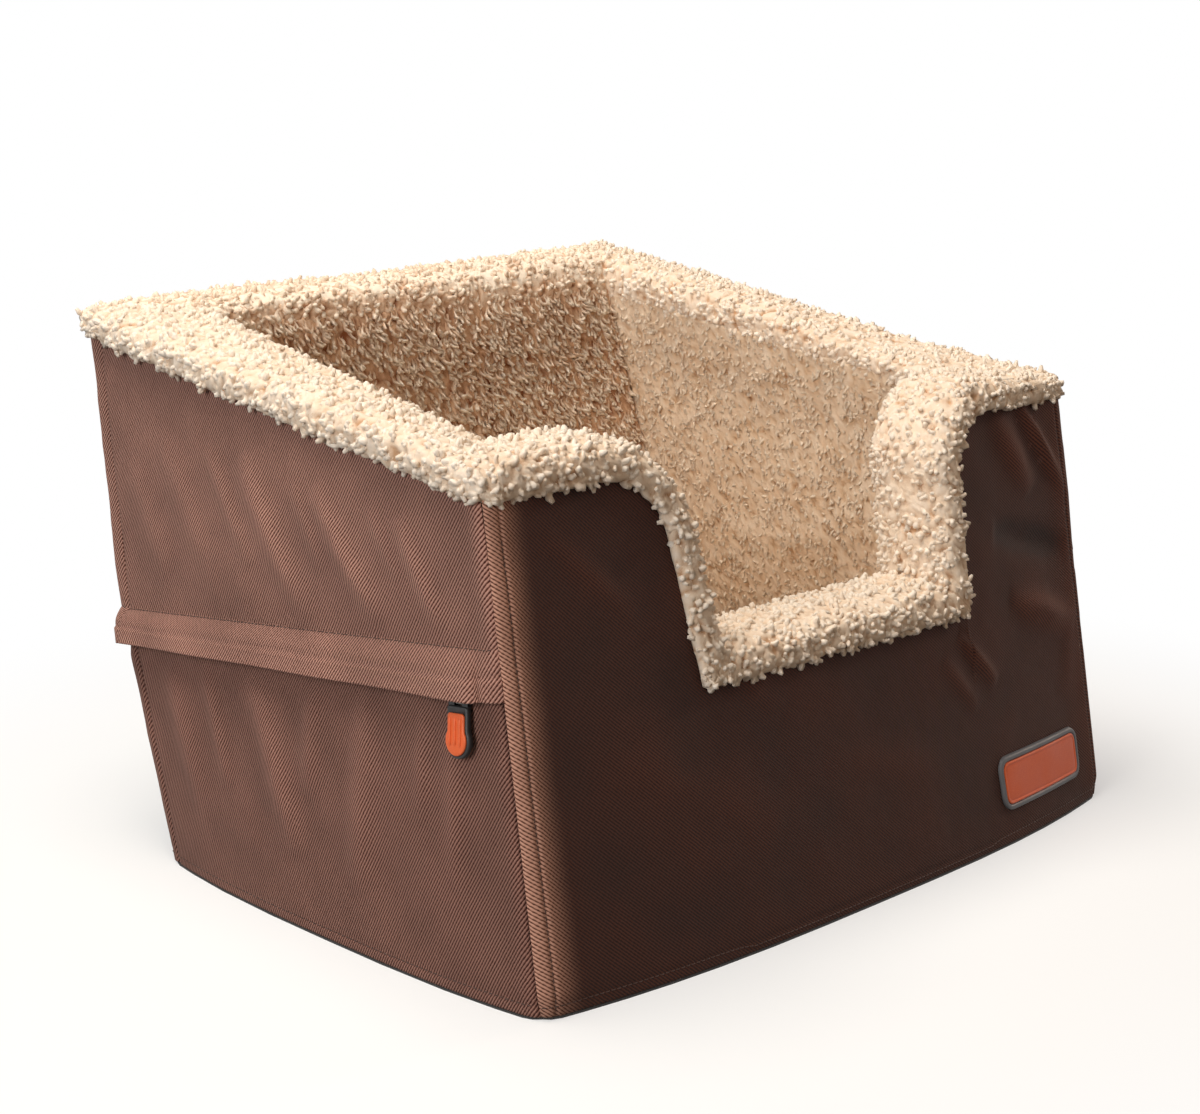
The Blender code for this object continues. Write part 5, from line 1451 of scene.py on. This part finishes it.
# Powers in watts, sizes in metres, and where each lamp stands and looks
lamps = {
    "keyLeft": {"place": (-2.0, -0.32, 0.80), "target": (0, 0, 0.2), "size": 1.1, "power": 21, "colour": "#ffffff"},
    "topSoft": {"place": (-0.4, 0.3, 1.9), "target": (0, 0, 0.15), "size": 1.2, "power": 35, "colour": "#fff8ee"},
    "fillFront": {"place": (-0.9, -2.2, 1.3), "target": (0, 0, 0.15), "size": 1.6, "power": 9, "colour": "#ffdfbd"},
    "edgeRight": {"place": (1.7, -0.5, 0.8), "target": (0.15, -0.18, 0.2), "size": 0.3, "power": 6,
                  "colour": "#ffe2cc"},
    "fillRight": {"place": (2.2, 0.5, 1.0), "target": (0, 0, 0.15), "size": 1.4, "power": 3, "colour": "#ffe9cf"},
}
worldLevel = 0.05


def makeLamps():
    for name, look in lamps.items():
        data = bpy.data.lights.new(name, "AREA")
        data.shape, data.size, data.energy = "DISK", look["size"], look["power"]
        data.color = linear(look["colour"])[:3]
        lamp = addObject(name, data)
        lamp.location = look["place"]
        aim = Vector(look["target"]) - Vector(look["place"])
        lamp.rotation_euler = aim.to_track_quat("-Z", "Y").to_euler()


# Seen directly, in gloss or through glass the surroundings are white, and otherwise they give a low soft light
def whiteSeen(tree):
    path = addNode(tree, "ShaderNodeLightPath").outputs
    first = mathNode(tree, path["Is Camera Ray"], path["Is Glossy Ray"], way="MAXIMUM")
    return mathNode(tree, first, path["Is Transmission Ray"], way="MAXIMUM")


def makeWorld():
    world = bpy.data.worlds.new("studio")
    bpy.context.scene.world = world
    world.use_nodes = True
    tree = world.node_tree
    sky = tree.nodes["Background"]
    tree.links.new(rangeNode(tree, whiteSeen(tree), 0.0, 1.0, worldLevel), sky.inputs["Strength"])
    sky.inputs["Color"].default_value = (1, 1, 1, 1)


floor = {"radius": 8, "fadeStart": 0.30, "fadeEnd": 0.70, "nearLevel": 0.5}


# Matt white studio floor with a soft edge: near the object it keeps the shadow, and further out it fades into
# the white surroundings. Its own light on the object is held low, as by dark flags round a studio's table.
def makeFloor():
    material, tree = newMaterial("matt_paper_floor", {"Roughness": 1.0, "Specular IOR Level": 0.0,
                                                      "Base Color": linear("#f4f3f1")})
    place = objectPlace(tree)
    bumpFrom(tree, noiseNode(tree, place, 900.0), 0.0001, 0.1)
    glow = addNode(tree, "ShaderNodeEmission", {"Color": (1, 1, 1, 1), "Strength": 1.0})
    distance = addNode(tree, "ShaderNodeVectorMath", {0: place}, operation="LENGTH").outputs["Value"]
    far = rangeNode(tree, distance, floor["fadeStart"], floor["fadeEnd"], floor["nearLevel"], way="SMOOTHSTEP")
    seen = whiteSeen(tree)
    share = mathNode(tree, far, seen, way="MULTIPLY")
    flag = addNode(tree, "ShaderNodeBsdfDiffuse", {"Color": linear("#6a6866"), "Roughness": 1.0})
    near = addNode(tree, "ShaderNodeMixShader", {0: seen, 1: flag.outputs[0],
                                                 2: tree.nodes["Principled BSDF"].outputs[0]})
    mix = addNode(tree, "ShaderNodeMixShader", {0: share, 1: near.outputs[0], 2: glow.outputs[0]})
    tree.links.new(mix.outputs[0], tree.nodes["Material Output"].inputs["Surface"])
    mesh = bpy.data.meshes.new("studio_floor")
    angle = np.linspace(0, 2 * math.pi, 65)[:-1]
    rim = np.stack([np.cos(angle) * floor["radius"], np.sin(angle) * floor["radius"], 0 * angle], axis=1)
    mesh.from_pydata(rim.tolist(), [], [list(range(64))])
    mesh.materials.append(material)
    addObject("studio_floor", mesh)


makeCamera()
makeLamps()
makeWorld()
makeFloor()
bpy.context.scene.view_settings.view_transform = "Standard"
print("camera, lamps and floor set")
